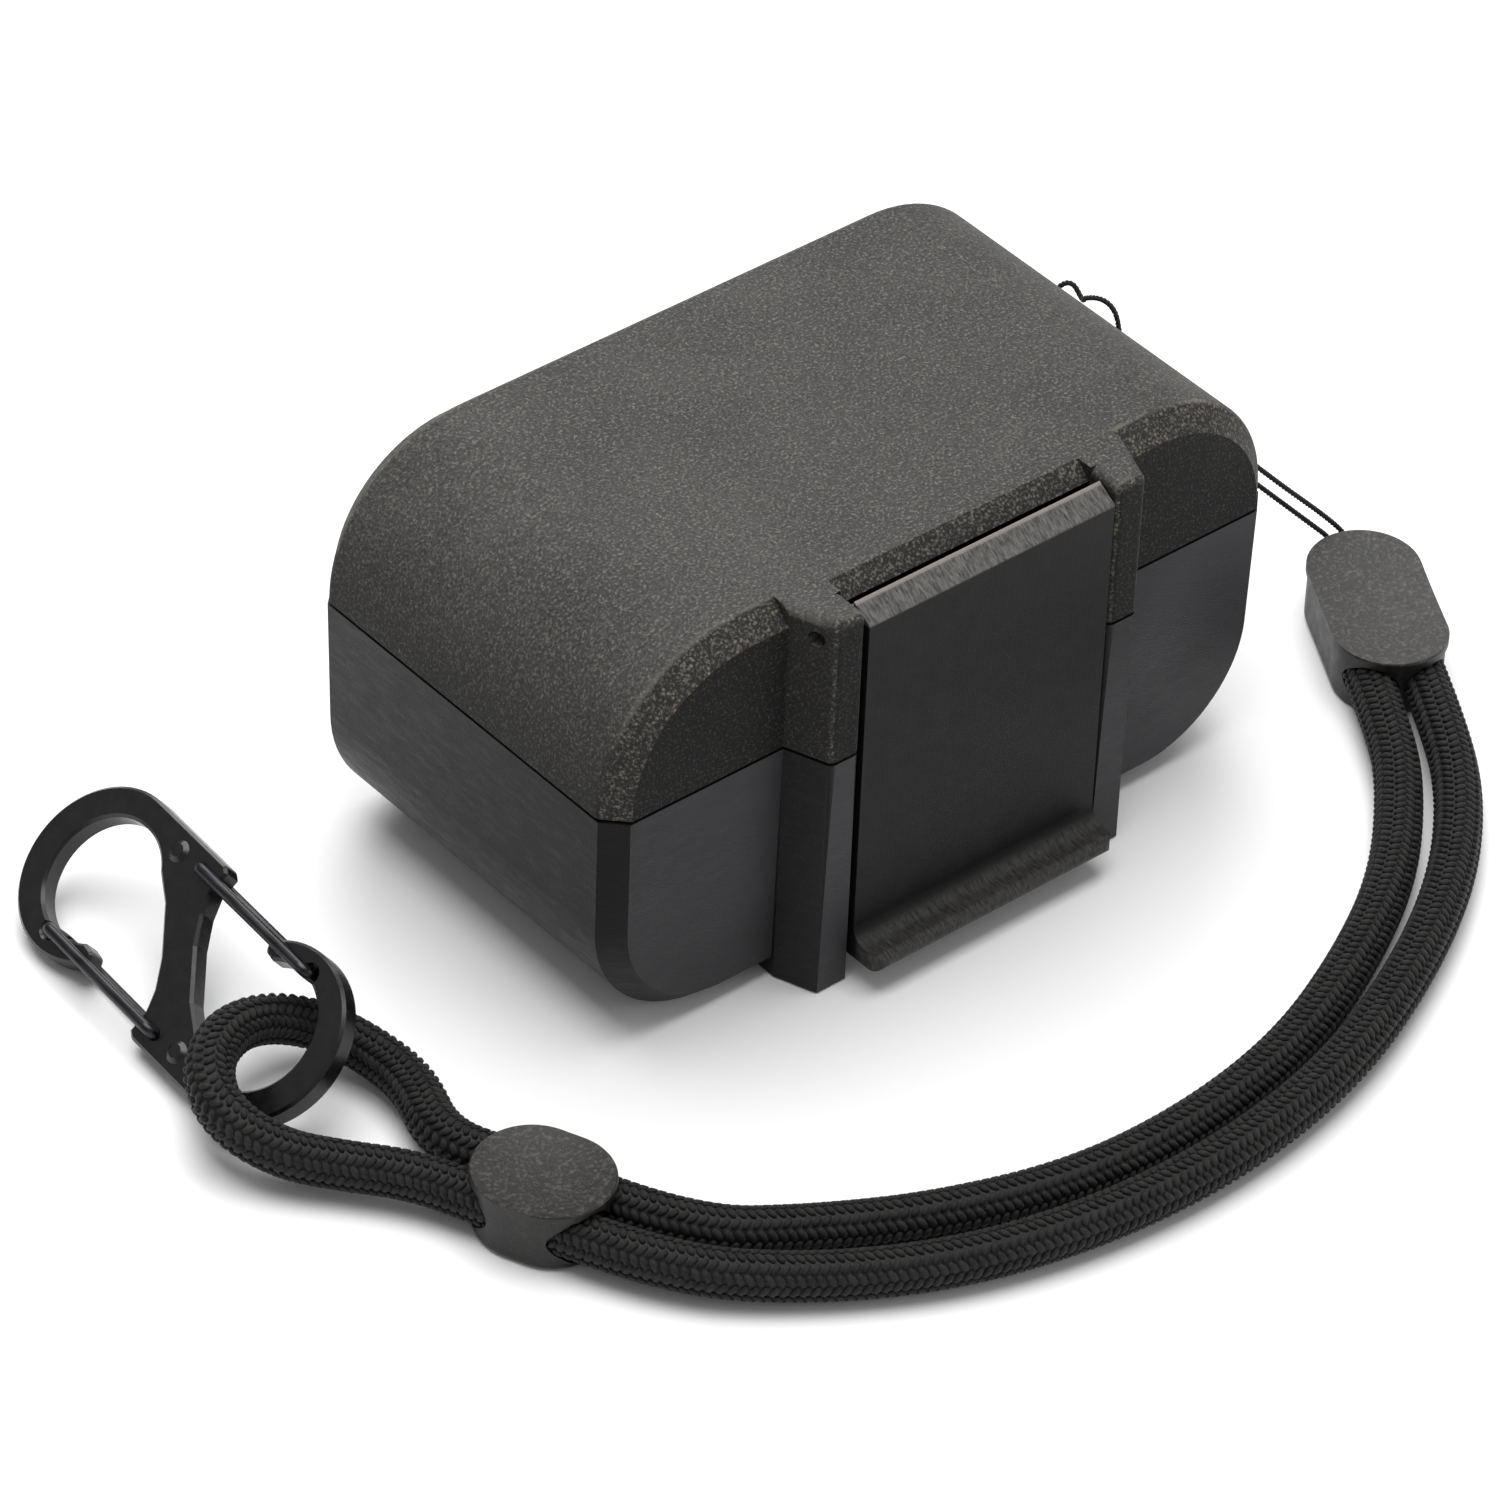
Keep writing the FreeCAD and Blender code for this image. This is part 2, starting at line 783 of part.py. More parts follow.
def bead_cover(length, centre, axis):
    """The cover plate: a rim round a shallow dish."""
    lift = V(0, 0, bead_height - cover_thickness)
    cover = oval(length, bead_width, cover_thickness, centre + lift, axis)

    def top_rim(e):
        return abs(e.CenterOfMass.z - bead_height) < 1e-6

    cover = rounded(cover, cover_rim, top_rim)
    sphere_radius = (length / 2) ** 2 / (2 * cover_dish)
    dish_centre = centre + V(0, 0, bead_height + sphere_radius - cover_dish)
    return cover.cut(Part.makeSphere(sphere_radius, dish_centre)).Solids[0]


def bead_body(length, centre, axis):
    body = oval(length, bead_width, bead_height - cover_thickness - 0.05, centre, axis, 0.25)

    def foot_rim(e):
        return abs(e.CenterOfMass.z) < 1e-6

    return rounded(body, 0.6, foot_rim)


def flare(place, axis):
    """A cone that opens a channel's mouth towards axis."""
    small = channel_radius
    return Part.makeCone(small, small + mouth_flare, mouth_flare_length, place - axis * mouth_flare_length, axis)


def stop_parts():
    """The cord stop: both strands run right through it and it slides on them."""
    body = bead_body(stop_length, stop_centre, stop_axis)
    cover = bead_cover(stop_length, stop_centre, stop_axis)
    half = cord_pitch / 2
    for across in (-half, half):
        start = beside(stop_centre, stop_axis, stop_side, -stop_length, across, bead_z)
        channel = rod(start, stop_axis, channel_radius, stop_length * 2)
        mouth_along = stop_length / 2 - 0.5
        for way in (-1, 1):
            place = beside(stop_centre, stop_axis, stop_side, way * mouth_along, across, bead_z)
            channel = channel.fuse(flare(place, stop_axis * way))
            beyond = rod(place, stop_axis * way, channel_radius + mouth_flare, stop_length)
            channel = channel.fuse(beyond)
        body = body.cut(channel)
        cover = cover.cut(channel)
    return body.removeSplitter(), cover.removeSplitter()


def cap_parts(tether_ends):
    """The end cap: the wrist cord's two ends sit in its sockets, the tether's in two small holes."""
    body = bead_body(cap_length, cap_centre, cap_axis)
    cover = bead_cover(cap_length, cap_centre, cap_axis)
    half = cord_pitch / 2
    for across in (-half, half):
        start = beside(cap_centre, cap_axis, cap_side, -cap_length / 2 + cap_socket_depth, across, bead_z)
        socket = rod(start, cap_axis * -1, cord_diameter / 2 + 0.02, cap_length)
        body = body.cut(socket)
        cover = cover.cut(socket)
    for inner, outer in tether_ends:
        hole = rod(inner, outer - inner, tether_diameter / 2 + 0.02, (outer - inner).Length)
        body = body.cut(hole)
        cover = cover.cut(hole)
    return body.removeSplitter(), cover.removeSplitter()


# Clip
def clip_frame():
    """Where the clip lies: its plate is rolled up on the cord loop, its low edge on the floor."""
    roll = math.radians(clip_roll_deg)
    yaw = math.radians(clip_yaw_deg)
    level = V(math.cos(yaw), -math.sin(yaw), 0)
    along = V(math.sin(yaw), math.cos(yaw), 0)
    across = level * math.cos(roll) + V(0, 0, 1) * math.sin(roll)
    normal = across.cross(along)
    height = clip_half_width * math.sin(roll) + clip_thickness / 2 * math.cos(roll)
    origin = V(clip_place[0], clip_place[1], height + 0.15)
    return origin, across, along, normal


def on_clip(shape):
    origin, across, along, normal = clip_frame()
    matrix = FreeCAD.Matrix(
        across.x, along.x, normal.x, origin.x,
        across.y, along.y, normal.y, origin.y,
        across.z, along.z, normal.z, origin.z,
        0, 0, 0, 1,
    )
    placed = shape.copy()
    placed.Placement = FreeCAD.Placement(matrix).multiply(placed.Placement)
    return placed


def half_turned(shape):
    turned_shape = shape.copy()
    turned_shape.rotate(V(0, 0, 0), V(0, 0, 1), 180)
    return turned_shape


def hook_opening():
    """The cutter for one hook: its round hole, the way in past the nose and the web's side."""
    t = clip_thickness
    cx, cy = clip_hook_centre
    r = clip_hook_hole_radius
    low = -t
    hole = Part.makeCylinder(r, 2 * t, V(cx - 0.1, cy - 0.8, low))
    side = [
        (cx + r - 0.2, cy - 0.8),
        (4.8, 9.3),
        (2.4, 5.4),
        (-1.6, 1.2),
        (-4.2, -0.8),
        (-6.4, -1.8),
        (-14.0, -1.8),
        (-14.0, 7.2),
        (-7.6, 7.2),
        (-5.9, 8.0),
        (-5.6, 10.2),
        (-5.8, 12.0),
        (-3.0, cy - 0.8),
    ]
    way_in = prism([V(x, y, low) for x, y in side], V(0, 0, 2 * t))
    bends = [e for e in way_in.Edges if is_upright(e) and -13 < e.CenterOfMass.x < 4.9 and e.CenterOfMass.y < 11]
    way_in = way_in.makeFillet(clip_corner_round * 0.7, bends)
    notch_radius = gate_wire_radius + gate_notch_clearance
    notch = Part.makeCylinder(notch_radius, 2 * t, V(gate_tip[0], gate_tip[1], low))
    y0, y1 = gate_tip[1] - notch_radius, gate_tip[1] + notch_radius
    notch = notch.fuse(block(gate_tip[0], gate_tip[0] + 2 * notch_radius, y0, y1, low, t))
    return hole.fuse(way_in).fuse(notch)


def clip_body():
    t = clip_thickness
    low = -t / 2
    cx, cy = clip_hook_centre
    w = clip_half_width
    middle = [(w, cy), (w, 2.6), (7.8, 0.6), (5.0, -1.2), (0.0, -4.0), (-w, -cy), (-w, -2.6), (-7.8, -0.6), (-5.0, 1.2), (0.0, 4.0)]
    web = prism([V(x, y, low) for x, y in middle], V(0, 0, t))
    corners = [e for e in web.Edges if is_upright(e) and 0.5 < abs(e.CenterOfMass.y) < 3 and abs(e.CenterOfMass.x) > 7]
    web = web.makeFillet(clip_corner_round, corners)
    plate = web
    for x, y in ((cx, cy), (-cx, -cy)):
        plate = plate.fuse(Part.makeCylinder(clip_hook_radius, t, V(x, y, low)))
    opening = hook_opening()
    plate = plate.cut(opening).cut(half_turned(opening))
    plate = plate.removeSplitter()
    rims = [e for e in plate.Edges if abs(abs(e.CenterOfMass.z) - t / 2) < 1e-6]
    plate = plate.makeChamfer(clip_edge_chamfer, rims)
    for place in (rivet_place, (-rivet_place[0], -rivet_place[1])):
        plate = plate.cut(Part.makeCylinder(rivet_radius + 0.02, 2 * t, V(place[0], place[1], -t)))
    for place in (gate_pivot, (-gate_pivot[0], -gate_pivot[1])):
        plate = plate.cut(Part.makeCylinder(gate_wire_radius + running_clearance, 2 * t, V(place[0], place[1], -t)))
    return on_clip(plate.Solids[0])


def clip_rivets():
    solids = []
    for sign in (1, -1):
        x, y = rivet_place[0] * sign, rivet_place[1] * sign
        half = clip_thickness / 2
        shank = Part.makeCylinder(rivet_radius, clip_thickness + 0.2, V(x, y, -half - 0.1))
        for way in (1, -1):
            head = Part.makeCone(
                rivet_head_radius, rivet_head_radius * 0.6, rivet_head_height, V(x, y, way * half), V(0, 0, way)
            )
            shank = shank.fuse(head)
        solids.append(on_clip(shank.removeSplitter().Solids[0]))
    return solids


def gate_wire():
    """A U of spring wire: its closed end in the nose's notch, its ends bent into the pivot hole."""
    leg = clip_thickness / 2 + gate_wire_gap + gate_wire_radius
    px, py = gate_pivot
    tx, ty = gate_tip
    path = [
        V(px, py, gate_peg_gap),
        V(px, py, leg),
        V(tx, ty, leg),
        V(tx, ty, -leg),
        V(px, py, -leg),
        V(px, py, -gate_peg_gap),
    ]
    return tube(path, gate_wire_radius, [gate_bend] * 4)


# Build
def main():
    os.makedirs("parts", exist_ok=True)
    save("base_shell", base_shell())
    save("base_inlay", base_inlay())
    save("lid_shell", lid_shell())
    save("case_hinge_pin", hinge_pin())
    save("latch_flap", latch_flap())
    save("latch_pin", latch_pin())
    save("call_barrel", call_barrel())
    save("call_band", call_band())
    save("call_stopper", call_stopper())
    save("call_o_rings", *call_rings())
    save("call_tone_board", call_tone_board())
    save("call_reed", call_reed())
    save("call_wedge", call_wedge())

    wrist = wrist_cord_points()
    print("wrist cord radii", [round(r, 1) for r in bend_radii(wrist)])
    save("wrist_cord", tube(wrist, cord_diameter / 2, bend_radii(wrist)))
    print("tether radii", [round(r, 1) for r in bend_radii(tether_points)])
    save("tether_cord", tube(tether_points, tether_diameter / 2, bend_radii(tether_points)))

    ends = [(tether_points[0], tether_points[1]), (tether_points[-1], tether_points[-2])]
    cap_body, cap_cover = cap_parts(ends)
    save("end_cap_body", cap_body)
    save("end_cap_cover", cap_cover)
    stop_body, stop_cover = stop_parts()
    save("cord_stop_body", stop_body)
    save("cord_stop_cover", stop_cover)

    save("clip_body", clip_body())
    save("clip_rivets", *clip_rivets())
    wire = gate_wire()
    save("hook_gate", on_clip(wire))
    save("ring_gate", on_clip(half_turned(wire)))
    origin, across, along, normal = clip_frame()
    for name, sign in (("hook gate", 1), ("ring gate", -1)):
        pivot = origin + across * (gate_pivot[0] * sign) + along * (gate_pivot[1] * sign)
        print(name, "pivot", [round(c, 3) for c in pivot], "axis", [round(c, 5) for c in normal * -1])


main()
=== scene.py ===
# Pocket case for a duck call with its wrist lanyard: looks, cords, light and camera.
# Everything is in metres, in the case's own frame: X along it, Y to its hinge, Z up.
import math

import bpy
from mathutils import Matrix, Vector


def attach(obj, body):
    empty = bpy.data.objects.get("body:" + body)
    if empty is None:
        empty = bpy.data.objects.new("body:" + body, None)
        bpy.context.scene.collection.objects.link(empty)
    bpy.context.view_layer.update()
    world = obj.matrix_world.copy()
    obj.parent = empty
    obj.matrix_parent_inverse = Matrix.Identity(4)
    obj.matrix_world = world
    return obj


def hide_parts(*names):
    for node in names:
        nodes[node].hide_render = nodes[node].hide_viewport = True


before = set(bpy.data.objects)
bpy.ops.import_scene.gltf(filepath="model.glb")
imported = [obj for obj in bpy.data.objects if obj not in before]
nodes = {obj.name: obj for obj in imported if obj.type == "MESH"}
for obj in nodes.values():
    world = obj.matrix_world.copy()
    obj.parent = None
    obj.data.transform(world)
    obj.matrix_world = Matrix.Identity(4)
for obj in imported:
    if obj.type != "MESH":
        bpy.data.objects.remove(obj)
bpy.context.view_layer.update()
mm = 0.001
print("model loaded:", len(nodes), "pieces")


def addObject(name, data):
    obj = bpy.data.objects.new(name, data)
    bpy.context.scene.collection.objects.link(obj)
    return obj


# camera: long lens from the front left, looking down on the case
view = {
    "place": (-0.41769, -0.47046, 0.51809),
    "right": (0.76596, -0.64186, 0.03626),
    "up": (0.37584, 0.49284, 0.78476),
    "back": (-0.52158, -0.58747, 0.61873),
    "lens": 195.64,
    "sensor": 36,
    "shift": (-0.031, -0.1041),
    "nearest": 0.05,
    "farthest": 20,
}
cameraData = bpy.data.cameras.new("camera")
camera = addObject("camera", cameraData)
right, up, back = (Vector(view[k]).normalized() for k in ("right", "up", "back"))
turn = Matrix((right, up, back)).transposed().to_4x4()
camera.matrix_world = Matrix.Translation(view["place"]) @ turn
cameraData.lens = view["lens"]
cameraData.sensor_width = view["sensor"]
cameraData.shift_x, cameraData.shift_y = view["shift"]
cameraData.clip_start = view["nearest"]
cameraData.clip_end = view["farthest"]
bpy.context.scene.camera = camera


# helpers for objects
def evaluatedMesh(obj):
    # what a curve or an object's modifiers come to, as a mesh of its own
    bpy.context.view_layer.update()
    evaluated = obj.evaluated_get(bpy.context.evaluated_depsgraph_get())
    return bpy.data.meshes.new_from_object(evaluated)


def centreLine(name, points):
    # a smooth line that the points pull into shape: its mesh, and its own points in order
    curve = bpy.data.curves.new(name, "CURVE")
    curve.dimensions = "3D"
    curve.resolution_u = 12
    spline = curve.splines.new("NURBS")
    spline.points.add(len(points) - 1)
    for point, place in zip(spline.points, points):
        point.co = (place[0] * mm, place[1] * mm, place[2] * mm, 1)
    spline.order_u = 3
    spline.use_endpoint_u = True
    route = addObject(name, curve)
    mesh = evaluatedMesh(route)
    bpy.data.objects.remove(route)
    return mesh, [v.co.copy() for v in mesh.vertices]


def freeze(obj, name):
    # put the result of a piece's modifiers in their place
    mesh = evaluatedMesh(obj)
    mesh.name = name
    obj.modifiers.clear()
    obj.data = mesh
    mesh.polygons.foreach_set("use_smooth", [True] * len(mesh.polygons))
    mesh.update()


# helpers for materials
noiseSpan = (0.3, 0.7)  # where a noise runs from one tone to the other


class Finish:
    # a material with its shader and a few shorthand ways to add nodes
    def __init__(self, name, colour, roughness, **more):
        self.material = bpy.data.materials.new(name)
        self.material.use_nodes = True
        self.tree = self.material.node_tree
        self.shader = self.tree.nodes["Principled BSDF"]
        self.shader.inputs["Base Color"].default_value = (*colour, 1)
        self.shader.inputs["Roughness"].default_value = roughness
        for socket, value in more.items():
            self.shader.inputs[socket.replace("_", " ")].default_value = value
        self.material.diffuse_color = (*colour, 1)
        self.coords = self.add("ShaderNodeTexCoord").outputs["Object"]
        self.height = None

    def add(self, kind, **values):
        node = self.tree.nodes.new(kind)
        for key, value in values.items():
            setattr(node, key, value)
        return node

    def link(self, a, b):
        self.tree.links.new(a, b)

    def stretched(self, scale):
        node = self.add("ShaderNodeMapping")
        node.inputs["Scale"].default_value = scale
        self.link(self.coords, node.inputs["Vector"])
        return node.outputs["Vector"]

    def noise(self, scale, detail=2.0, rough=0.5, source=None):
        node = self.add("ShaderNodeTexNoise")
        node.inputs["Scale"].default_value = scale
        node.inputs["Detail"].default_value = detail
        node.inputs["Roughness"].default_value = rough
        self.link(source or self.coords, node.inputs["Vector"])
        return node.outputs["Fac"]

    def cells(self, scale):
        node = self.add("ShaderNodeTexVoronoi")
        node.inputs["Scale"].default_value = scale
        self.link(self.coords, node.inputs["Vector"])
        return node.outputs["Distance"]

    def lines(self, scale, axis, distortion, source=None):
        node = self.add("ShaderNodeTexWave", wave_type="BANDS", bands_direction=axis)
        node.inputs["Scale"].default_value = scale
        node.inputs["Distortion"].default_value = distortion
        node.inputs["Detail"].default_value = 1.0
        self.link(source or self.coords, node.inputs["Vector"])
        return node.outputs["Fac"]

    def spread(self, value, low, high, outLow=0.0, outHigh=1.0):
        node = self.add("ShaderNodeMapRange")
        node.inputs["From Min"].default_value = low
        node.inputs["From Max"].default_value = high
        node.inputs["To Min"].default_value = outLow
        node.inputs["To Max"].default_value = outHigh
        self.link(value, node.inputs["Value"])
        return node.outputs["Result"]

    def maths(self, operation, a, b=0.0):
        node = self.add("ShaderNodeMath", operation=operation)
        for socket, value in zip(node.inputs, (a, b)):
            if isinstance(value, float):
                socket.default_value = value
            else:
                self.link(value, socket)
        return node.outputs["Value"]

    def tint(self, factor, first, second):
        # a colour that runs from first to second, either of them a colour or a socket
        node = self.add("ShaderNodeMix", data_type="RGBA")
        for index, value in ((6, first), (7, second)):
            if isinstance(value, tuple):
                node.inputs[index].default_value = (*value, 1)
            else:
                self.link(value, node.inputs[index])
        self.link(factor, node.inputs[0])
        return node.outputs[2]

    def colour(self, socket):
        self.link(socket, self.shader.inputs["Base Color"])

    def roughness(self, socket):
        self.link(socket, self.shader.inputs["Roughness"])

    def bump(self, height, depth, strength):
        node = self.add("ShaderNodeBump")
        node.inputs["Strength"].default_value = strength
        node.inputs["Distance"].default_value = depth
        self.link(height, node.inputs["Height"])
        if self.height is not None:
            self.link(self.height, node.inputs["Normal"])
        self.height = node.outputs["Normal"]
        self.link(self.height, self.shader.inputs["Normal"])


def placeAlong(finish, axis):
    # one object coordinate
    node = finish.add("ShaderNodeSeparateXYZ")
    finish.link(finish.coords, node.inputs["Vector"])
    return node.outputs[axis]


def turnTo(finish, axis):
    # how far a face turns along one axis, from -1 to 1
    node = finish.add("ShaderNodeSeparateXYZ")
    finish.link(finish.add("ShaderNodeTexCoord").outputs["Normal"], node.inputs["Vector"])
    return node.outputs[axis]


def facing(finish, axis):
    # the same with its sign dropped, for faces that are alike on both sides
    return finish.maths("ABSOLUTE", turnTo(finish, axis))


def upness(finish, low, high):
    # 0 to 1 as a face turns upwards: painted light makes such faces paler, and the edge line keeps to them
    return finish.spread(turnTo(finish, "Z"), low, high)


def between(finish, value, rise, full, fade, end):
    # 1 between two values, with a soft start and a soft end
    begins = finish.spread(value, rise, full)
    ends = finish.spread(value, fade, end, outLow=1.0, outHigh=0.0)
    return finish.maths("MULTIPLY", begins, ends)


# finishes
lidLook = {
    "front": (0.0058, 0.0056, 0.0055),
    "wall": (0.0215, 0.0208, 0.0200),
    "dark": (0.042, 0.041, 0.0394),
    "light": (0.063, 0.0614, 0.0590),
    "grain": (0.175, 0.166, 0.152),
    "pit": (0.0150, 0.0145, 0.0140),
    "dust": (0.24, 0.215, 0.175),
    "wearAndHighlight": (0.150, 0.140, 0.122),
    "bevel": (0.028, 0.027, 0.0255),
    "bevelTurn": (0.50, 0.62, 0.80, 0.92),
    "edgeTurn": (0.12, 0.34, 0.50, 0.66),
    "edgeRise": (0.05, 0.3),
    "wallTurn": (0.75, 0.95),
    "topRise": (-0.05, 0.75),
    "grainRise": (-0.4, 0.8),
    "frontTurn": (0.90, 0.98),
    "patchScale": 85,
    "grainScale": 3300,
    "scuffScale": 160,
    "speckScale": 2100,
    "clusterScale": 1100,
    "fineScale": 5200,
    "grainDepth": 0.00012,
    "fineDepth": 0.00004,
}


def lidPlastic():
    # warm charcoal sintered nylon: sandy grain, painted light that makes the top paler than the walls, pale
    # dust and painted shade on the bevels, and a line above them that is partly wear and partly painted
    # highlight
    look = lidLook
    f = Finish("lidPlastic", look["light"], 0.64, Specular_IOR_Level=0.12)
    patches = f.noise(look["patchScale"], detail=3.0)
    grain = f.noise(look["grainScale"], detail=3.0, rough=0.7)
    sideways = facing(f, "Y")
    onBevel = between(f, sideways, *look["bevelTurn"])
    onEdge = f.maths("MULTIPLY", between(f, sideways, *look["edgeTurn"]), upness(f, *look["edgeRise"]))
    # painted light: upward faces take this pale mottled top tone
    litTopPatches = f.tint(f.spread(patches, *noiseSpan), look["dark"], look["light"])
    # painted shade: walls are painted darker than the top, and walls facing front darker still
    wall = f.tint(f.spread(sideways, *look["wallTurn"]), look["wall"], look["front"])
    plain = f.tint(upness(f, *look["topRise"]), wall, litTopPatches)
    # painted shade: faces half turned to the front are painted darker than the top
    base = f.tint(onBevel, plain, look["bevel"])
    pitted = f.tint(f.spread(grain, 0.30, 0.46, outLow=0.75, outHigh=0.0), base, look["pit"])
    # painted highlight: raised grain is painted pale only where faces turn up, and on the bevels
    raised = f.spread(grain, 0.52, 0.70)
    lit = f.maths("MULTIPLY", raised, f.maths("MAXIMUM", upness(f, *look["grainRise"]), onBevel))
    mottled = f.tint(lit, pitted, look["grain"])
    # a pale line along the upper edge, partly wear and partly a painted highlight
    scuffs = f.spread(f.noise(look["scuffScale"], detail=3.0, rough=0.6), 0.42, 0.68, outHigh=0.75)
    wearAndHighlight = f.tint(f.maths("MULTIPLY", scuffs, onEdge), mottled, look["wearAndHighlight"])
    speck = f.spread(f.cells(look["speckScale"]), 0.12, 0.45, outLow=1.0, outHigh=0.0)
    edgeShare = f.spread(f.maths("MAXIMUM", onBevel, onEdge), 0.0, 1.0, outLow=0.62, outHigh=0.46)
    cluster = f.noise(look["clusterScale"], detail=2.0, rough=0.6)
    chosen = f.spread(f.maths("SUBTRACT", cluster, edgeShare), 0.0, 0.10)
    offFront = f.spread(sideways, *look["frontTurn"], outLow=0.62, outHigh=0.12)
    dusty = f.maths("MULTIPLY", f.maths("MULTIPLY", speck, chosen), offFront)
    f.colour(f.tint(dusty, wearAndHighlight, look["dust"]))
    f.roughness(f.spread(patches, *noiseSpan, outLow=0.56, outHigh=0.68))
    f.bump(grain, look["grainDepth"], strength=0.6)
    f.bump(f.noise(look["fineScale"]), look["fineDepth"], strength=0.5)
    return f.material


baseLook = {
    "dark": (0.0060, 0.0060, 0.0063),
    "light": (0.0105, 0.0104, 0.0110),
    "hatch": (0.0140, 0.0138, 0.0148),
    "streak": (0.0260, 0.0256, 0.0275),
    "paintedSheen": (0.0480, 0.0468, 0.0515),
    "bevel": (0.0036, 0.0036, 0.0038),
    "bevelTurn": (0.50, 0.64, 0.80, 0.92),
    "frontTurn": (0.92, 0.99),
    "patchScale": 60,
    "layerScale": 1150,
    "speckScale": 2600,
    "streakScale": 1500,
    "streakStretch": (0.25, 0.25, 1),
    "layerDepth": 0.00002,
    "speckDepth": 0.00004,
}


def basePlastic():
    # printed in fine level layers, a little bluer and smoother than the lid, with a painted sheen on its
    # front walls and painted shade that makes its bevels blackest
    look = baseLook
    f = Finish("basePlastic", look["dark"], 0.46, Specular_IOR_Level=0.2)
    patches = f.noise(look["patchScale"])
    layers = f.lines(look["layerScale"], "Z", distortion=0.3)
    specks = f.noise(look["speckScale"], detail=3.0, rough=0.65)
    streaks = f.noise(look["streakScale"], rough=0.6, source=f.stretched(look["streakStretch"]))
    tone = f.tint(f.spread(patches, *noiseSpan), look["dark"], look["light"])
    hatched = f.tint(f.spread(layers, 0.3, 1.0, outHigh=0.25), tone, look["hatch"])
    streaked = f.tint(f.spread(streaks, 0.50, 0.72, outHigh=0.45), hatched, look["streak"])
    speckled = f.tint(f.spread(specks, 0.56, 0.72, outHigh=0.6), streaked, look["streak"])
    # painted shade: faces turned half way between front and side are painted darkest
    turnedX = between(f, facing(f, "X"), *look["bevelTurn"])
    turnedY = between(f, facing(f, "Y"), *look["bevelTurn"])
    onBevel = f.maths("MULTIPLY", turnedX, turnedY)
    # painted sheen: walls facing front are painted paler in patches, a painted reflection
    onFront = f.spread(facing(f, "Y"), *look["frontTurn"])
    frontSheenMask = f.maths("MULTIPLY", onFront, f.spread(patches, 0.25, 0.75, outLow=0.35, outHigh=0.8))
    walls = f.tint(frontSheenMask, speckled, look["paintedSheen"])
    f.colour(f.tint(onBevel, walls, look["bevel"]))
    f.roughness(f.spread(streaks, *noiseSpan, outLow=0.38, outHigh=0.54))
    f.bump(layers, look["layerDepth"], strength=0.4)
    f.bump(specks, look["speckDepth"], strength=0.35)
    return f.material


flapLook = {
    "bevelFoot": 0.0433,
    "bevelHead": 0.0449,
    "bevelStep": 0.0002,
    "headStep": 0.00012,
    "lipStart": -0.0282,
    "lipStep": 0.0004,
    "dark": (0.0042, 0.0042, 0.0042),
    "light": (0.0074, 0.0073, 0.0073),
    "litStripes": (0.150, 0.145, 0.138),
    "between": (0.030, 0.029, 0.028),
    "wearAndHighlight": (0.26, 0.225, 0.210),
    "weaveScale": 1000,
    "cloudScale": 420,
    "strokeScale": 4200,
    "strokeStretch": (1, 0.22, 0.22),
    "weaveDepth": 0.00002,
    "strokeDepth": 0.00010,
}


def flapPlastic():
    # near black and finely hatched, with its end grain in short strokes on the bevel and the lip, painted
    # paler there partly as painted light from above, and a pale top edge that is partly wear and partly
    # painted highlight
    look = flapLook
    f = Finish("flapPlastic", look["dark"], 0.5, Specular_IOR_Level=0.18)
    level = f.lines(look["weaveScale"], "Z", distortion=0.2)
    upright = f.lines(look["weaveScale"], "X", distortion=0.2)
    woven = f.maths("MULTIPLY", level, upright)
    cloud = f.noise(look["cloudScale"], detail=3.0)
    face = f.tint(f.spread(cloud, *noiseSpan), look["dark"], look["light"])
    height = placeAlong(f, "Z")
    foot, head, lip = look["bevelFoot"], look["bevelHead"], look["lipStart"]
    onBevel = f.spread(height, foot, foot + look["bevelStep"])
    onLip = f.spread(placeAlong(f, "Y"), lip - look["lipStep"], lip, outLow=0.4, outHigh=0.0)
    ends = f.maths("MAXIMUM", onBevel, onLip)
    strokes = f.noise(look["strokeScale"], detail=3.0, rough=0.7, source=f.stretched(look["strokeStretch"]))
    # the bevel and lip strokes: their own end grain, painted paler as painted light from above
    litEndGrain = f.tint(f.spread(strokes, 0.32, 0.68), look["between"], look["litStripes"])
    body = f.tint(ends, face, litEndGrain)
    # a pale line along the top edge, partly wear and partly a painted highlight
    edge = f.spread(height, head - look["headStep"], head, outHigh=0.8)
    f.colour(f.tint(edge, body, look["wearAndHighlight"]))
    f.roughness(f.spread(woven, 0.0, 1.0, outLow=0.42, outHigh=0.56))
    f.bump(woven, look["weaveDepth"], strength=0.35)
    f.bump(f.maths("MULTIPLY", strokes, ends), look["strokeDepth"], strength=0.5)
    return f.material


beadLook = {
    "plain": (0.0075, 0.0073, 0.0075),
    "dark": (0.0050, 0.0048, 0.0048),
    "light": (0.0130, 0.0116, 0.0105),
    "spark": (0.075, 0.065, 0.058),
    "toneScale": 650,
    "sparkScale": 2300,
    "sparkDepth": 0.00009,
}


def beadPlastic():
    # moulded black, a little brown in random patches, with pale brown sparks painted in only where faces
    # turn up, as painted highlights
    look = beadLook
    f = Finish("beadPlastic", look["plain"], 0.44, Specular_IOR_Level=0.4)
    tone = f.noise(look["toneScale"], detail=3.0)
    spark = f.noise(look["sparkScale"], detail=3.0, rough=0.65)
    body = f.tint(f.spread(tone, 0.35, 0.65), look["dark"], look["light"])
    # painted highlight: sparks show only on faces that turn up
    lit = f.maths("MULTIPLY", f.spread(spark, 0.50, 0.68, outHigh=0.9), upness(f, -0.2, 0.9))
    f.colour(f.tint(lit, body, look["spark"]))
    f.roughness(f.spread(tone, *noiseSpan, outLow=0.38, outHigh=0.52))
    f.bump(spark, look["sparkDepth"], strength=0.55)
    return f.material


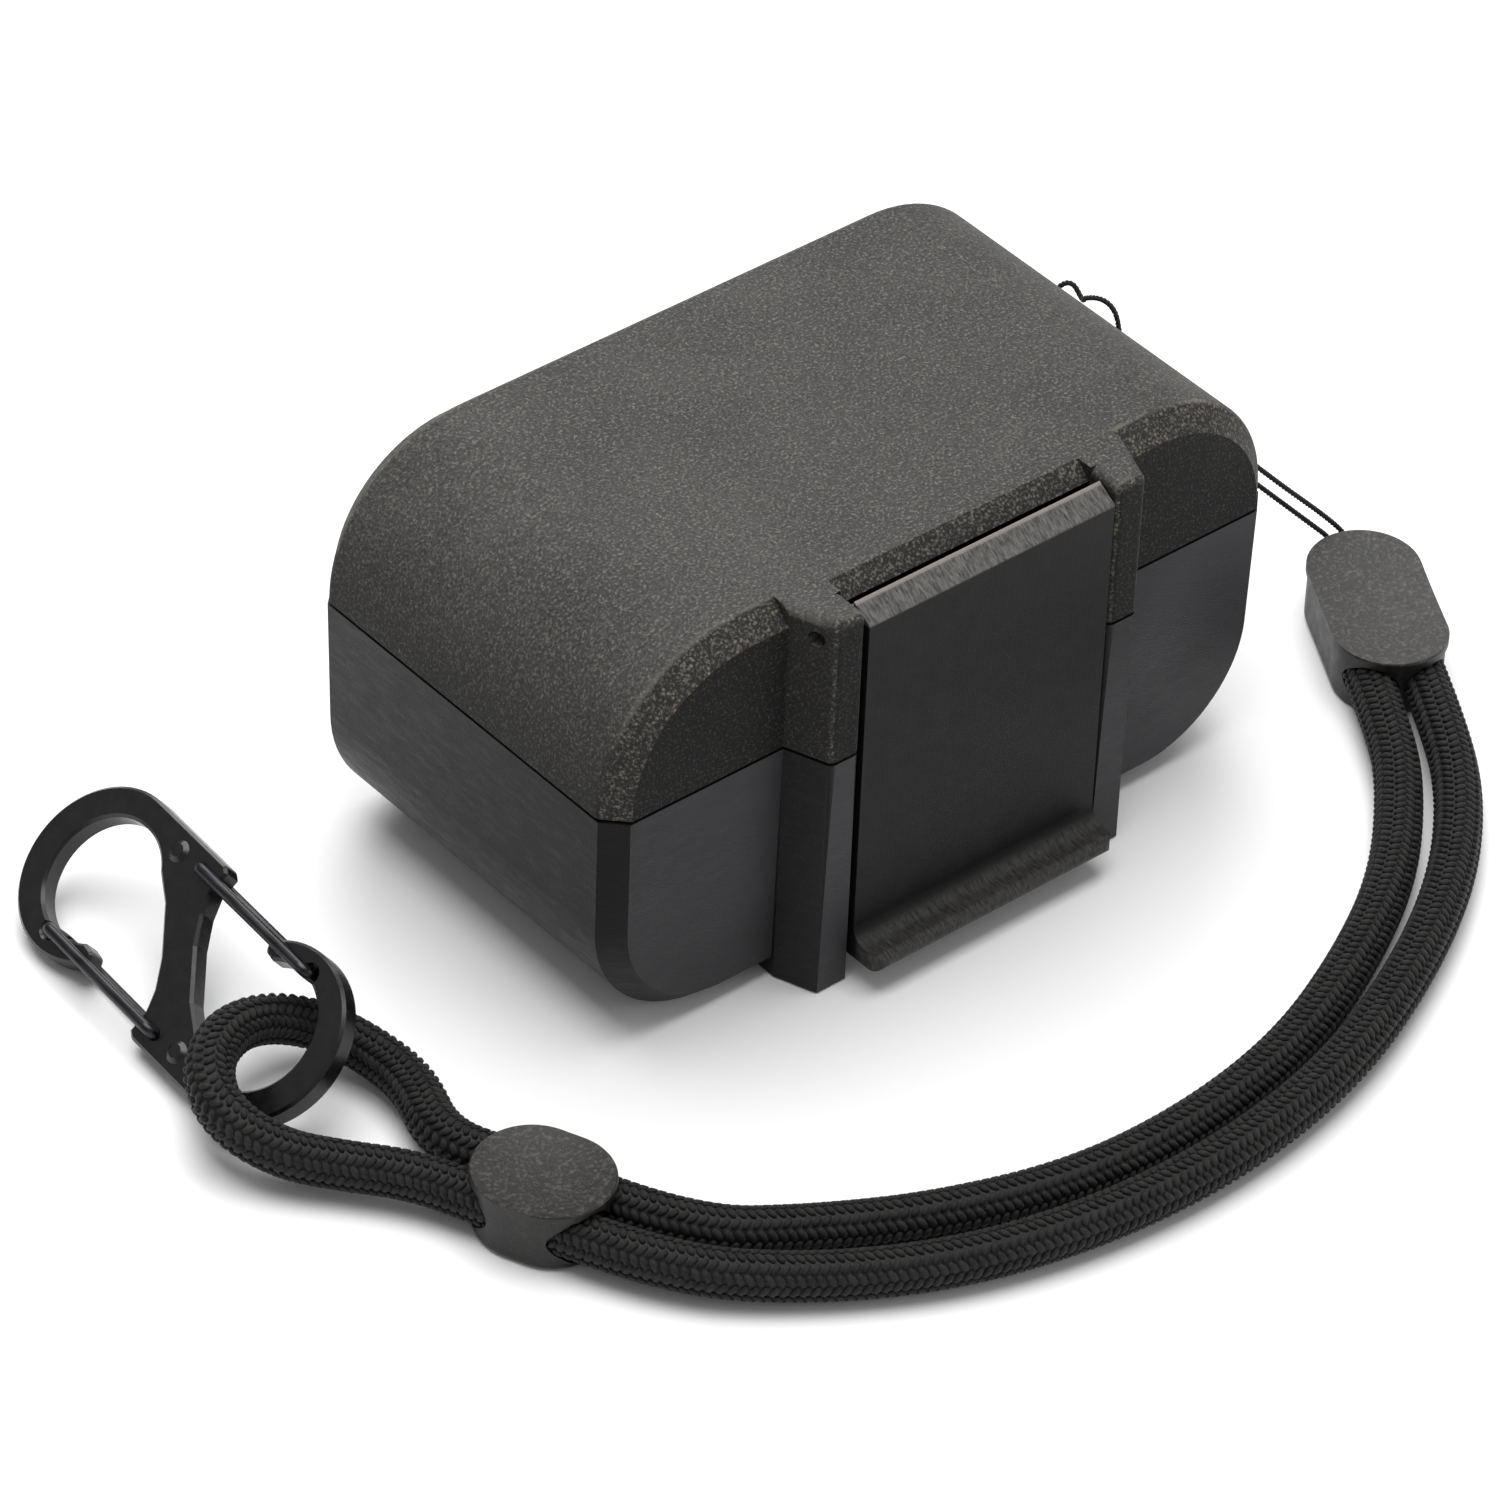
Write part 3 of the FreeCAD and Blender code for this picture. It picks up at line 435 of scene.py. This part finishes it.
clipLook = {
    "plain": (0.0035, 0.0035, 0.0037),
    "dark": (0.0030, 0.0030, 0.0032),
    "light": (0.0048, 0.0047, 0.0048),
    "cloudScale": 700,
    "fineScale": 3000,
    "fineDepth": 0.000004,
}


def anodised():
    # hard black skin over metal, glossy where its edges catch the light
    look = clipLook
    f = Finish("blackAnodised", look["plain"], 0.27, Specular_IOR_Level=0.5)
    cloud = f.noise(look["cloudScale"])
    f.colour(f.tint(f.spread(cloud, *noiseSpan), look["dark"], look["light"]))
    f.roughness(f.spread(cloud, *noiseSpan, outLow=0.24, outHigh=0.31))
    f.bump(f.noise(look["fineScale"]), look["fineDepth"], strength=0.12)
    return f.material


wireLook = {
    "plain": (0.035, 0.035, 0.038),
    "dark": (0.028, 0.028, 0.031),
    "light": (0.055, 0.055, 0.060),
    "gloss": (0.3, 0.26, 0.38),
    "scale": 3000,
    "stretch": (1, 0.1, 1),
    "depth": 0.00001,
    "strength": 0.3,
}
steelLook = {
    "plain": (0.55, 0.55, 0.56),
    "dark": (0.46, 0.46, 0.47),
    "light": (0.66, 0.66, 0.67),
    "gloss": (0.3, 0.22, 0.36),
    "scale": 2500,
    "stretch": (0.08, 1, 1),
    "depth": 0.00001,
    "strength": 0.3,
}
bandLook = {
    "plain": (0.7, 0.7, 0.72),
    "dark": (0.62, 0.62, 0.64),
    "light": (0.78, 0.78, 0.80),
    "gloss": (0.28, 0.22, 0.34),
    "scale": 1800,
    "stretch": (1, 0.04, 0.04),
    "depth": 0.000015,
    "strength": 0.4,
}


def drawnMetal(name, look):
    # bare metal with fine lines along the way it was drawn or turned
    plain, low, high = look["gloss"]
    f = Finish(name, look["plain"], plain, Metallic=1.0)
    drawn = f.noise(look["scale"], source=f.stretched(look["stretch"]))
    f.colour(f.tint(f.spread(drawn, *noiseSpan), look["dark"], look["light"]))
    f.roughness(f.spread(drawn, *noiseSpan, outLow=low, outHigh=high))
    f.bump(drawn, look["depth"], look["strength"])
    return f.material


foamLook = {
    "plain": (0.03, 0.03, 0.032),
    "dark": (0.012, 0.012, 0.013),
    "light": (0.045, 0.045, 0.048),
    "poreScale": 1800,
    "swellScale": 500,
    "poreDepth": 0.00018,
    "swellDepth": 0.0001,
}


def cradleFoam():
    # open-celled foam, pitted and a little uneven
    look = foamLook
    f = Finish("cradleFoam", look["plain"], 0.9, Specular_IOR_Level=0.25)
    pores = f.cells(look["poreScale"])
    f.colour(f.tint(f.spread(pores, 0.0, 0.5), look["dark"], look["light"]))
    f.bump(f.spread(pores, 0.0, 0.35), look["poreDepth"], strength=0.7)
    f.bump(f.noise(look["swellScale"], detail=3.0), look["swellDepth"], strength=0.4)
    return f.material


woodLook = {
    "plain": (0.16, 0.07, 0.03),
    "dark": (0.10, 0.038, 0.016),
    "light": (0.24, 0.105, 0.045),
    "fibre": (0.035, 0.014, 0.008),
    "ringScale": 260,
    "ringStretch": (0.1, 1, 1),
    "fibreScale": 2600,
    "fibreStretch": (0.04, 1, 1),
    "fibreDepth": 0.00003,
}


def oiledWood():
    # dark hardwood with its grain along the call
    look = woodLook
    gloss = {"Specular_IOR_Level": 0.5, "Coat_Weight": 0.25, "Coat_Roughness": 0.2}
    f = Finish("oiledWood", look["plain"], 0.38, **gloss)
    rings = f.lines(look["ringScale"], "Z", distortion=5.0, source=f.stretched(look["ringStretch"]))
    fibres = f.noise(look["fibreScale"], detail=3.0, rough=0.6, source=f.stretched(look["fibreStretch"]))
    body = f.tint(f.spread(rings, 0.1, 0.9), look["dark"], look["light"])
    f.colour(f.tint(f.spread(fibres, 0.55, 0.72, outHigh=0.7), body, look["fibre"]))
    f.roughness(f.spread(fibres, *noiseSpan, outLow=0.32, outHigh=0.46))
    f.bump(fibres, look["fibreDepth"], strength=0.4)
    return f.material


rubberLook = {
    "plain": (0.018, 0.018, 0.018),
    "dark": (0.014, 0.014, 0.014),
    "light": (0.03, 0.03, 0.03),
    "bloomScale": 1500,
    "bloomDepth": 0.00002,
}


def ringRubber():
    # matt rubber with a faint bloom
    look = rubberLook
    f = Finish("ringRubber", look["plain"], 0.7, Specular_IOR_Level=0.4)
    bloom = f.noise(look["bloomScale"], detail=3.0)
    f.colour(f.tint(f.spread(bloom, *noiseSpan), look["dark"], look["light"]))
    f.bump(bloom, look["bloomDepth"], strength=0.4)
    return f.material


boardLook = {
    "plain": (0.72, 0.70, 0.62),
    "dark": (0.66, 0.63, 0.55),
    "light": (0.77, 0.75, 0.68),
    "cloudScale": 400,
    "fineScale": 2400,
    "fineDepth": 0.00002,
}


def boardPlastic():
    # ivory moulding that lets a little light in
    look = boardLook
    glow = {"Subsurface_Weight": 0.08, "Subsurface_Radius": (0.002, 0.0015, 0.001)}
    f = Finish("boardPlastic", look["plain"], 0.42, **glow)
    cloud = f.noise(look["cloudScale"], detail=3.0)
    f.colour(f.tint(f.spread(cloud, *noiseSpan), look["dark"], look["light"]))
    f.bump(f.noise(look["fineScale"]), look["fineDepth"], strength=0.4)
    return f.material


reedLook = {
    "plain": (0.86, 0.86, 0.84),
    "dark": (0.80, 0.80, 0.77),
    "light": (0.90, 0.90, 0.88),
    "cloudScale": 300,
    "lineScale": 1500,
    "lineStretch": (0.1, 1, 1),
    "lineDepth": 0.00001,
}


def reedFilm():
    # smooth film with faint lines along the reed
    look = reedLook
    f = Finish("reedFilm", look["plain"], 0.22)
    cloud = f.noise(look["cloudScale"])
    f.colour(f.tint(f.spread(cloud, *noiseSpan), look["dark"], look["light"]))
    rolled = f.noise(look["lineScale"], source=f.stretched(look["lineStretch"]))
    f.bump(rolled, look["lineDepth"], strength=0.3)
    return f.material


corkLook = {
    "plain": (0.5, 0.33, 0.18),
    "dark": (0.30, 0.17, 0.085),
    "light": (0.58, 0.40, 0.23),
    "fleck": (0.10, 0.05, 0.025),
    "grainScale": 1100,
    "fleckScale": 900,
    "grainDepth": 0.00012,
}


def rawCork():
    # pressed cork with dark flecks
    look = corkLook
    f = Finish("rawCork", look["plain"], 0.85, Specular_IOR_Level=0.3)
    grains = f.cells(look["grainScale"])
    body = f.tint(f.spread(grains, 0.0, 0.6), look["dark"], look["light"])
    flecks = f.spread(f.noise(look["fleckScale"]), 0.62, 0.72)
    f.colour(f.tint(flecks, body, look["fleck"]))
    f.bump(grains, look["grainDepth"], strength=0.6)
    return f.material


yarnLook = {
    "plain": (0.006, 0.0058, 0.0056),
    "dark": (0.0038, 0.0037, 0.0036),
    "light": (0.0150, 0.0142, 0.0135),
    "filamentScale": 2.6,
    "filamentDepth": 0.00004,
}


def cordYarn():
    # nylon yarn: each stitch a little lighter or darker, with its filaments along it
    look = yarnLook
    nap = {"Specular_IOR_Level": 0.28, "Sheen_Weight": 0.06, "Sheen_Roughness": 0.5}
    f = Finish("cordYarn", look["plain"], 0.66, **nap)
    shade = f.add("ShaderNodeAttribute", attribute_name="shade").outputs["Fac"]
    along = f.add("ShaderNodeAttribute", attribute_name="yarn").outputs["Vector"]
    f.colour(f.tint(shade, look["dark"], look["light"]))
    f.roughness(f.spread(shade, 0.0, 1.0, outLow=0.58, outHigh=0.72))
    filaments = f.lines(look["filamentScale"], "Y", distortion=0.4, source=along)
    f.bump(filaments, look["filamentDepth"], strength=0.5)
    return f.material


threadLook = {
    "plain": (0.006, 0.0058, 0.0056),
    "dark": (0.004, 0.0039, 0.0038),
    "light": (0.013, 0.0125, 0.012),
    "fuzzScale": 6000,
    "fuzzDepth": 0.00004,
}


def threadYarn():
    # thin twisted nylon, a little fuzzy
    look = threadLook
    nap = {"Specular_IOR_Level": 0.28, "Sheen_Weight": 0.05, "Sheen_Roughness": 0.5}
    f = Finish("threadYarn", look["plain"], 0.64, **nap)
    fuzz = f.noise(look["fuzzScale"])
    f.colour(f.tint(f.spread(fuzz, *noiseSpan), look["dark"], look["light"]))
    f.bump(fuzz, look["fuzzDepth"], strength=0.5)
    return f.material


finishes = {
    "lid_shell": lidPlastic(),
    "base_shell": basePlastic(),
    "latch_flap": flapPlastic(),
    "base_inlay": cradleFoam(),
    "call_band": drawnMetal("satinAluminium", bandLook),
    "call_o_rings": ringRubber(),
    "call_tone_board": boardPlastic(),
    "call_reed": reedFilm(),
    "call_wedge": rawCork(),
}
for group, material in (
    (("latch_pin", "case_hinge_pin"), drawnMetal("plainSteel", steelLook)),
    (("call_barrel", "call_stopper"), oiledWood()),
    (("end_cap_body", "end_cap_cover", "cord_stop_body", "cord_stop_cover"), beadPlastic()),
    (("clip_body", "clip_rivets"), anodised()),
    (("hook_gate", "ring_gate"), drawnMetal("springWire", wireLook)),
):
    for node in group:
        finishes[node] = material
for node, material in finishes.items():
    for holder in nodes[node].material_slots:
        holder.material = material
print("finishes on the case, call, beads and clip")

# routes and sizes of both cords, in millimetres
wristCord = {
    "diameter": 5.0,
    "rows": 12,
    "pitch": 0.93,
    "stitchLength": 1.42,
    "stitchWidth": 0.74,
    "stitchHeight": 0.62,
    "lean": 52.0,
    "wobble": 0.09,
    "coreInset": 0.52,
    "stitchSides": 8,
    "stitchRings": 4,
    "coreSides": 16,
    "seed": 4,
    "points": [
        (60.64, -26.15, 3.25), (54.11, -38.08, 3.25), (48.2, -46.6, 2.6), (38.8, -55.2, 2.6),
        (26.2, -62.7, 2.6), (11.6, -68.8, 2.6), (-4.6, -71.6, 2.6), (-20.8, -70.9, 2.6),
        (-35.8, -67, 2.6), (-48.6, -59.6, 2.6), (-57.77, -51.51, 3.25), (-65.37, -34.07, 3.25),
        (-68.36, -27.22, 3.25), (-73.2, -21.6, 3.2), (-77, -17.6, 3.9), (-79.3, -12.2, 5.6),
        (-78, -7.4, 7.2), (-73.6, -4.2, 7.5), (-68.3, -3.2, 6.2), (-63.3, -5.2, 4.2),
        (-60.6, -10.2, 2.8), (-60.3, -16.9, 2.9), (-63.43, -24.52, 3.25), (-60.24, -31.84, 3.25),
        (-52.64, -49.27, 3.25), (-43.6, -55, 2.6), (-33, -60.9, 2.6), (-19.4, -65.5, 2.6),
        (-5.2, -66.2, 2.6), (9.3, -63.9, 2.6), (22.8, -58.2, 2.6), (34.6, -51.2, 2.6),
        (43.9, -42.4, 2.6), (49.19, -35.39, 3.25), (55.72, -23.46, 3.25),
    ],
}
tether = {
    "diameter": 0.6,
    "plies": 3,
    "turnsPerMetre": 750,
    "step": 0.18,
    "plyReach": 0.52,
    "plyRadius": 0.50,
    "plySides": 8,
    "points": [
        (63.3, -12.6, 4.9), (64.0, -10.2, 5.6), (62.7, -9.1, 7.0), (47.6, 3.8, 23.5), (46.2, 5.0, 25.0),
        (44.9, 6.6, 25.8), (44.8, 11.0, 26.0), (45.4, 14.4, 26.8), (47.4, 16.6, 28.6), (48.6, 14.9, 30.9),
        (48.7, 13.0, 29.0), (47.8, 11.9, 30.6), (48.4, 9.9, 31.4), (48.8, 8.2, 30.6), (48.5, 7.1, 28.2),
        (48.0, 5.0, 25.7), (49.6, 3.2, 23.9), (58.3, -6.6, 13.8), (63.6, -9.4, 8.3), (65.8, -10.9, 5.5),
        (64.9, -13.2, 4.9),
    ],
}


class NodeTree:
    # a geometry node tree with named sizes, built a node at a time
    def __init__(self, name, sizes):
        self.sizes = sizes
        self.tree = bpy.data.node_groups.new(name, "GeometryNodeTree")
        self.tree.interface.new_socket("Geometry", in_out="INPUT", socket_type="NodeSocketGeometry")
        for label, value in sizes.items():
            kind = "NodeSocketInt" if isinstance(value, int) else "NodeSocketFloat"
            socket = self.tree.interface.new_socket(label, in_out="INPUT", socket_type=kind)
            socket.default_value = value
        self.tree.interface.new_socket("Geometry", in_out="OUTPUT", socket_type="NodeSocketGeometry")
        self.start = self.tree.nodes.new("NodeGroupInput")
        self.end = self.tree.nodes.new("NodeGroupOutput")

    def size(self, label):
        return self.start.outputs[label]

    def add(self, kind, inputs=None, **values):
        node = self.tree.nodes.new(kind)
        for key, value in values.items():
            setattr(node, key, value)
        for key, value in (inputs or {}).items():
            socket = node.inputs[key]
            if isinstance(value, bpy.types.NodeSocket):
                self.tree.links.new(value, socket)
            else:
                socket.default_value = value
        return node

    def maths(self, operation, a, b=0.0):
        return self.add("ShaderNodeMath", {0: a, 1: b}, operation=operation).outputs[0]

    def vector(self, operation, a, b):
        return self.add("ShaderNodeVectorMath", {0: a, 1: b}, operation=operation).outputs[0]

    def scaled(self, a, scale):
        return self.add("ShaderNodeVectorMath", {0: a, "Scale": scale}, operation="SCALE").outputs[0]

    def outward(self, normal, side, angle):
        # the way out of a line at an angle round it
        across = self.scaled(normal, self.maths("COSINE", angle))
        return self.vector("ADD", across, self.scaled(side, self.maths("SINE", angle)))

    def levelLine(self):
        # the line of a cord with a level frame carried along it
        line = self.add("GeometryNodeMeshToCurve", {"Mesh": self.start.outputs["Geometry"]}).outputs[0]
        return self.add("GeometryNodeSetCurveNormal", {"Curve": line}, mode="Z_UP").outputs[0]

    def steps(self, line, length):
        inputs = {"Curve": line, "Length": length}
        return self.add("GeometryNodeResampleCurve", inputs, mode="LENGTH").outputs[0]

    def circle(self, sides, radius):
        inputs = {"Resolution": sides, "Radius": radius}
        return self.add("GeometryNodeCurvePrimitiveCircle", inputs, mode="RADIUS").outputs[0]

    def swept(self, line, ring):
        inputs = {"Curve": line, "Profile Curve": ring, "Fill Caps": True}
        return self.add("GeometryNodeCurveToMesh", inputs).outputs[0]

    def moved(self, geometry, offset):
        return self.add("GeometryNodeSetPosition", {"Geometry": geometry, "Offset": offset}).outputs[0]

    def store(self, geometry, name, value, kind="FLOAT_VECTOR", domain="POINT"):
        inputs = {"Geometry": geometry, "Name": name, "Value": value}
        node = self.add("GeometryNodeStoreNamedAttribute", inputs, data_type=kind, domain=domain)
        return node.outputs[0]

    def stored(self, name):
        inputs = {"Name": name}
        return self.add("GeometryNodeInputNamedAttribute", inputs, data_type="FLOAT_VECTOR").outputs[0]

    def finish(self, pieces, material):
        # join the pieces, make them real and give them their finish
        whole = self.add("GeometryNodeJoinGeometry")
        for piece in pieces:
            self.tree.links.new(piece, whole.inputs[0])
        real = self.add("GeometryNodeRealizeInstances", {"Geometry": whole.outputs[0]}).outputs[0]
        painted = self.add("GeometryNodeSetMaterial", {"Geometry": real, "Material": material}).outputs[0]
        self.tree.links.new(painted, self.end.inputs[0])

    def put(self, obj):
        modifier = obj.modifiers.new(self.tree.name, "NODES")
        modifier.node_group = self.tree
        for item in self.tree.interface.items_tree:
            if item.in_out == "INPUT" and item.name in self.sizes:
                modifier[item.identifier] = self.sizes[item.name]


def braidTree(cord, material):
    # pillow stitches in rows round a core, leaning one way and then the other
    t = NodeTree("braidedSleeve", {
        "Radius": cord["diameter"] / 2 * mm,
        "Pitch": cord["pitch"] * mm,
        "Rows": cord["rows"],
        "Stitch Length": cord["stitchLength"] * mm,
        "Stitch Width": cord["stitchWidth"] * mm,
        "Stitch Height": cord["stitchHeight"] * mm,
        "Lean": math.radians(cord["lean"]),
        "Seed": cord["seed"],
    })
    line = t.levelLine()
    steps = t.steps(line, t.size("Pitch"))
    points = t.add("GeometryNodeCurveToPoints", {"Curve": steps}, mode="EVALUATED")
    withTangent = t.store(points.outputs["Points"], "cordTangent", points.outputs["Tangent"])
    withNormal = t.store(withTangent, "cordNormal", points.outputs["Normal"])
    copies = {"Geometry": withNormal, "Amount": t.size("Rows")}
    rows = t.add("GeometryNodeDuplicateElements", copies, domain="POINT")
    tangent = t.stored("cordTangent")
    normal = t.stored("cordNormal")
    side = t.vector("CROSS_PRODUCT", tangent, normal)

    # each row sits at its own angle round the cord, the odd ones half a stitch on
    row = rows.outputs["Duplicate Index"]
    angle = t.maths("MULTIPLY", t.maths("DIVIDE", row, t.size("Rows")), 2 * math.pi)
    outward = t.outward(normal, side, angle)
    odd = t.maths("MODULO", row, 2.0)
    inset = t.maths("SUBTRACT", t.size("Radius"), t.maths("MULTIPLY", t.size("Stitch Height"), 0.5))
    half = t.maths("MULTIPLY", t.maths("MULTIPLY", odd, t.size("Pitch")), 0.5)
    shift = t.vector("ADD", t.scaled(outward, inset), t.scaled(tangent, half))
    placed = t.moved(rows.outputs["Geometry"], shift)

    # each stitch lies flat on the cord and leans, a little unevenly
    axes = {"primary_axis": "Z", "secondary_axis": "X"}
    flat = t.add("FunctionNodeAxesToRotation", {0: outward, 1: tangent}, **axes).outputs[0]
    wobble = t.add("FunctionNodeRandomValue", {"Seed": t.size("Seed")}, data_type="FLOAT")
    wobble.inputs[2].default_value = -cord["wobble"]
    wobble.inputs[3].default_value = cord["wobble"]
    sign = t.maths("SUBTRACT", 1.0, t.maths("MULTIPLY", odd, 2.0))
    lean = t.maths("ADD", t.maths("MULTIPLY", sign, t.size("Lean")), wobble.outputs[1])
    leanVector = t.add("ShaderNodeCombineXYZ", {"Z": lean}).outputs[0]
    leanTurn = t.add("FunctionNodeEulerToRotation", {0: leanVector}).outputs[0]
    turned = t.add("FunctionNodeRotateRotation", {0: flat, 1: leanTurn}, rotation_space="LOCAL").outputs[0]

    ball = {"Segments": cord["stitchSides"], "Rings": cord["stitchRings"], "Radius": 0.5}
    pillow = t.add("GeometryNodeMeshUVSphere", ball).outputs[0]
    local = t.store(pillow, "yarn", t.add("GeometryNodeInputPosition").outputs[0])
    lengths = {"X": t.size("Stitch Length"), "Y": t.size("Stitch Width"), "Z": t.size("Stitch Height")}
    size = t.add("ShaderNodeCombineXYZ", lengths).outputs[0]
    stitch = {"Points": placed, "Instance": local, "Rotation": turned, "Scale": size}
    stitches = t.add("GeometryNodeInstanceOnPoints", stitch).outputs[0]
    shade = t.add("FunctionNodeRandomValue", {"Seed": t.size("Seed")}, data_type="FLOAT").outputs[1]
    shaded = t.store(stitches, "shade", shade, "FLOAT", "INSTANCE")

    sunk = t.maths("MULTIPLY", t.size("Stitch Height"), cord["coreInset"])
    coreRadius = t.maths("SUBTRACT", t.size("Radius"), sunk)
    core = t.swept(line, t.circle(cord["coreSides"], coreRadius))
    t.finish((core, shaded), material)
    return t


def plyTree(cord, material):
    # thread plies twisted round each other
    t = NodeTree("twistedThread", {
        "Radius": cord["diameter"] / 2 * mm,
        "Turns Per Metre": float(cord["turnsPerMetre"]),
        "Step": cord["step"] * mm,
    })
    steps = t.steps(t.levelLine(), t.size("Step"))
    tangent = t.add("GeometryNodeInputTangent").outputs[0]
    normal = t.add("GeometryNodeInputNormal").outputs[0]
    side = t.vector("CROSS_PRODUCT", tangent, normal)
    run = t.add("GeometryNodeSplineParameter").outputs["Length"]
    reach = t.maths("MULTIPLY", t.size("Radius"), cord["plyReach"])
    thin = t.maths("MULTIPLY", t.size("Radius"), cord["plyRadius"])
    strands = []
    for ply in range(cord["plies"]):
        wound = t.maths("MULTIPLY", t.maths("MULTIPLY", run, t.size("Turns Per Metre")), 2 * math.pi)
        angle = t.maths("ADD", wound, 2 * math.pi * ply / cord["plies"])
        path = t.moved(steps, t.scaled(t.outward(normal, side, angle), reach))
        strands.append(t.swept(path, t.circle(cord["plySides"], thin)))
    t.finish(strands, material)
    return t


def runLength(points):
    return sum((b - a).length for a, b in zip(points, points[1:]))


# wrist cord
wristMesh, wristPath = centreLine("wristRoute", wristCord["points"])
braid = addObject("braidedCord", wristMesh)
braidTree(wristCord, cordYarn()).put(braid)
freeze(braid, "braidedCord")
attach(braid, "case")
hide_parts("wrist_cord")
print("wrist cord:", round(runLength(wristPath) / mm, 1), "mm,", len(braid.data.polygons), "faces")

# tether
tetherMesh, tetherPath = centreLine("tetherRoute", tether["points"])
thread = addObject("twistedTether", tetherMesh)
plyTree(tether, threadYarn()).put(thread)
freeze(thread, "twistedTether")
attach(thread, "case")
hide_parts("tether_cord")
print("tether:", round(runLength(tetherPath) / mm, 1), "mm,", len(thread.data.polygons), "faces")

# floor and light
studio = {"floorReach": 3.0, "floorDrop": 0.0002, "pale": 0.93, "world": 0.36, "toneCurve": "Standard"}
floorMesh = bpy.data.meshes.new("floor")
reach = studio["floorReach"]
corners = [(-reach, -reach, 0), (reach, -reach, 0), (reach, reach, 0), (-reach, reach, 0)]
floorMesh.from_pydata(corners, [], [(0, 1, 2, 3)])
floor = addObject("floor", floorMesh)
floor.location = (0, 0, -studio["floorDrop"])
paper = Finish("floorPaper", (studio["pale"],) * 3, 0.8, Specular_IOR_Level=0.2)
floorMesh.materials.append(paper.material)

world = bpy.data.worlds.new("studio")
bpy.context.scene.world = world
world.use_nodes = True
world.node_tree.nodes["Background"].inputs["Color"].default_value = (1, 1, 1, 1)
world.node_tree.nodes["Background"].inputs["Strength"].default_value = studio["world"]

lamps = {
    "overheadSoftbox": {"place": (0.0, 0.1, 1.0), "aim": (0, 0, 0), "size": 0.9, "power": 11.5},
    "backSoftbox": {"place": (0.45, 0.6, 0.62), "aim": (0, 0, 0.03), "size": 0.5, "power": 3.0},
    "rightSoftbox": {"place": (0.55, -0.75, 0.32), "aim": (0, 0, 0.02), "size": 0.5, "power": 1.5},
}
for name, lamp in lamps.items():
    data = bpy.data.lights.new(name, "AREA")
    data.shape = "SQUARE"
    data.size = lamp["size"]
    data.energy = lamp["power"]
    light = addObject(name, data)
    toAim = Vector(lamp["aim"]) - Vector(lamp["place"])
    light.location = lamp["place"]
    light.rotation_euler = toAim.to_track_quat("-Z", "Y").to_euler()
bpy.context.scene.view_settings.view_transform = studio["toneCurve"]
print("floor and lights set")
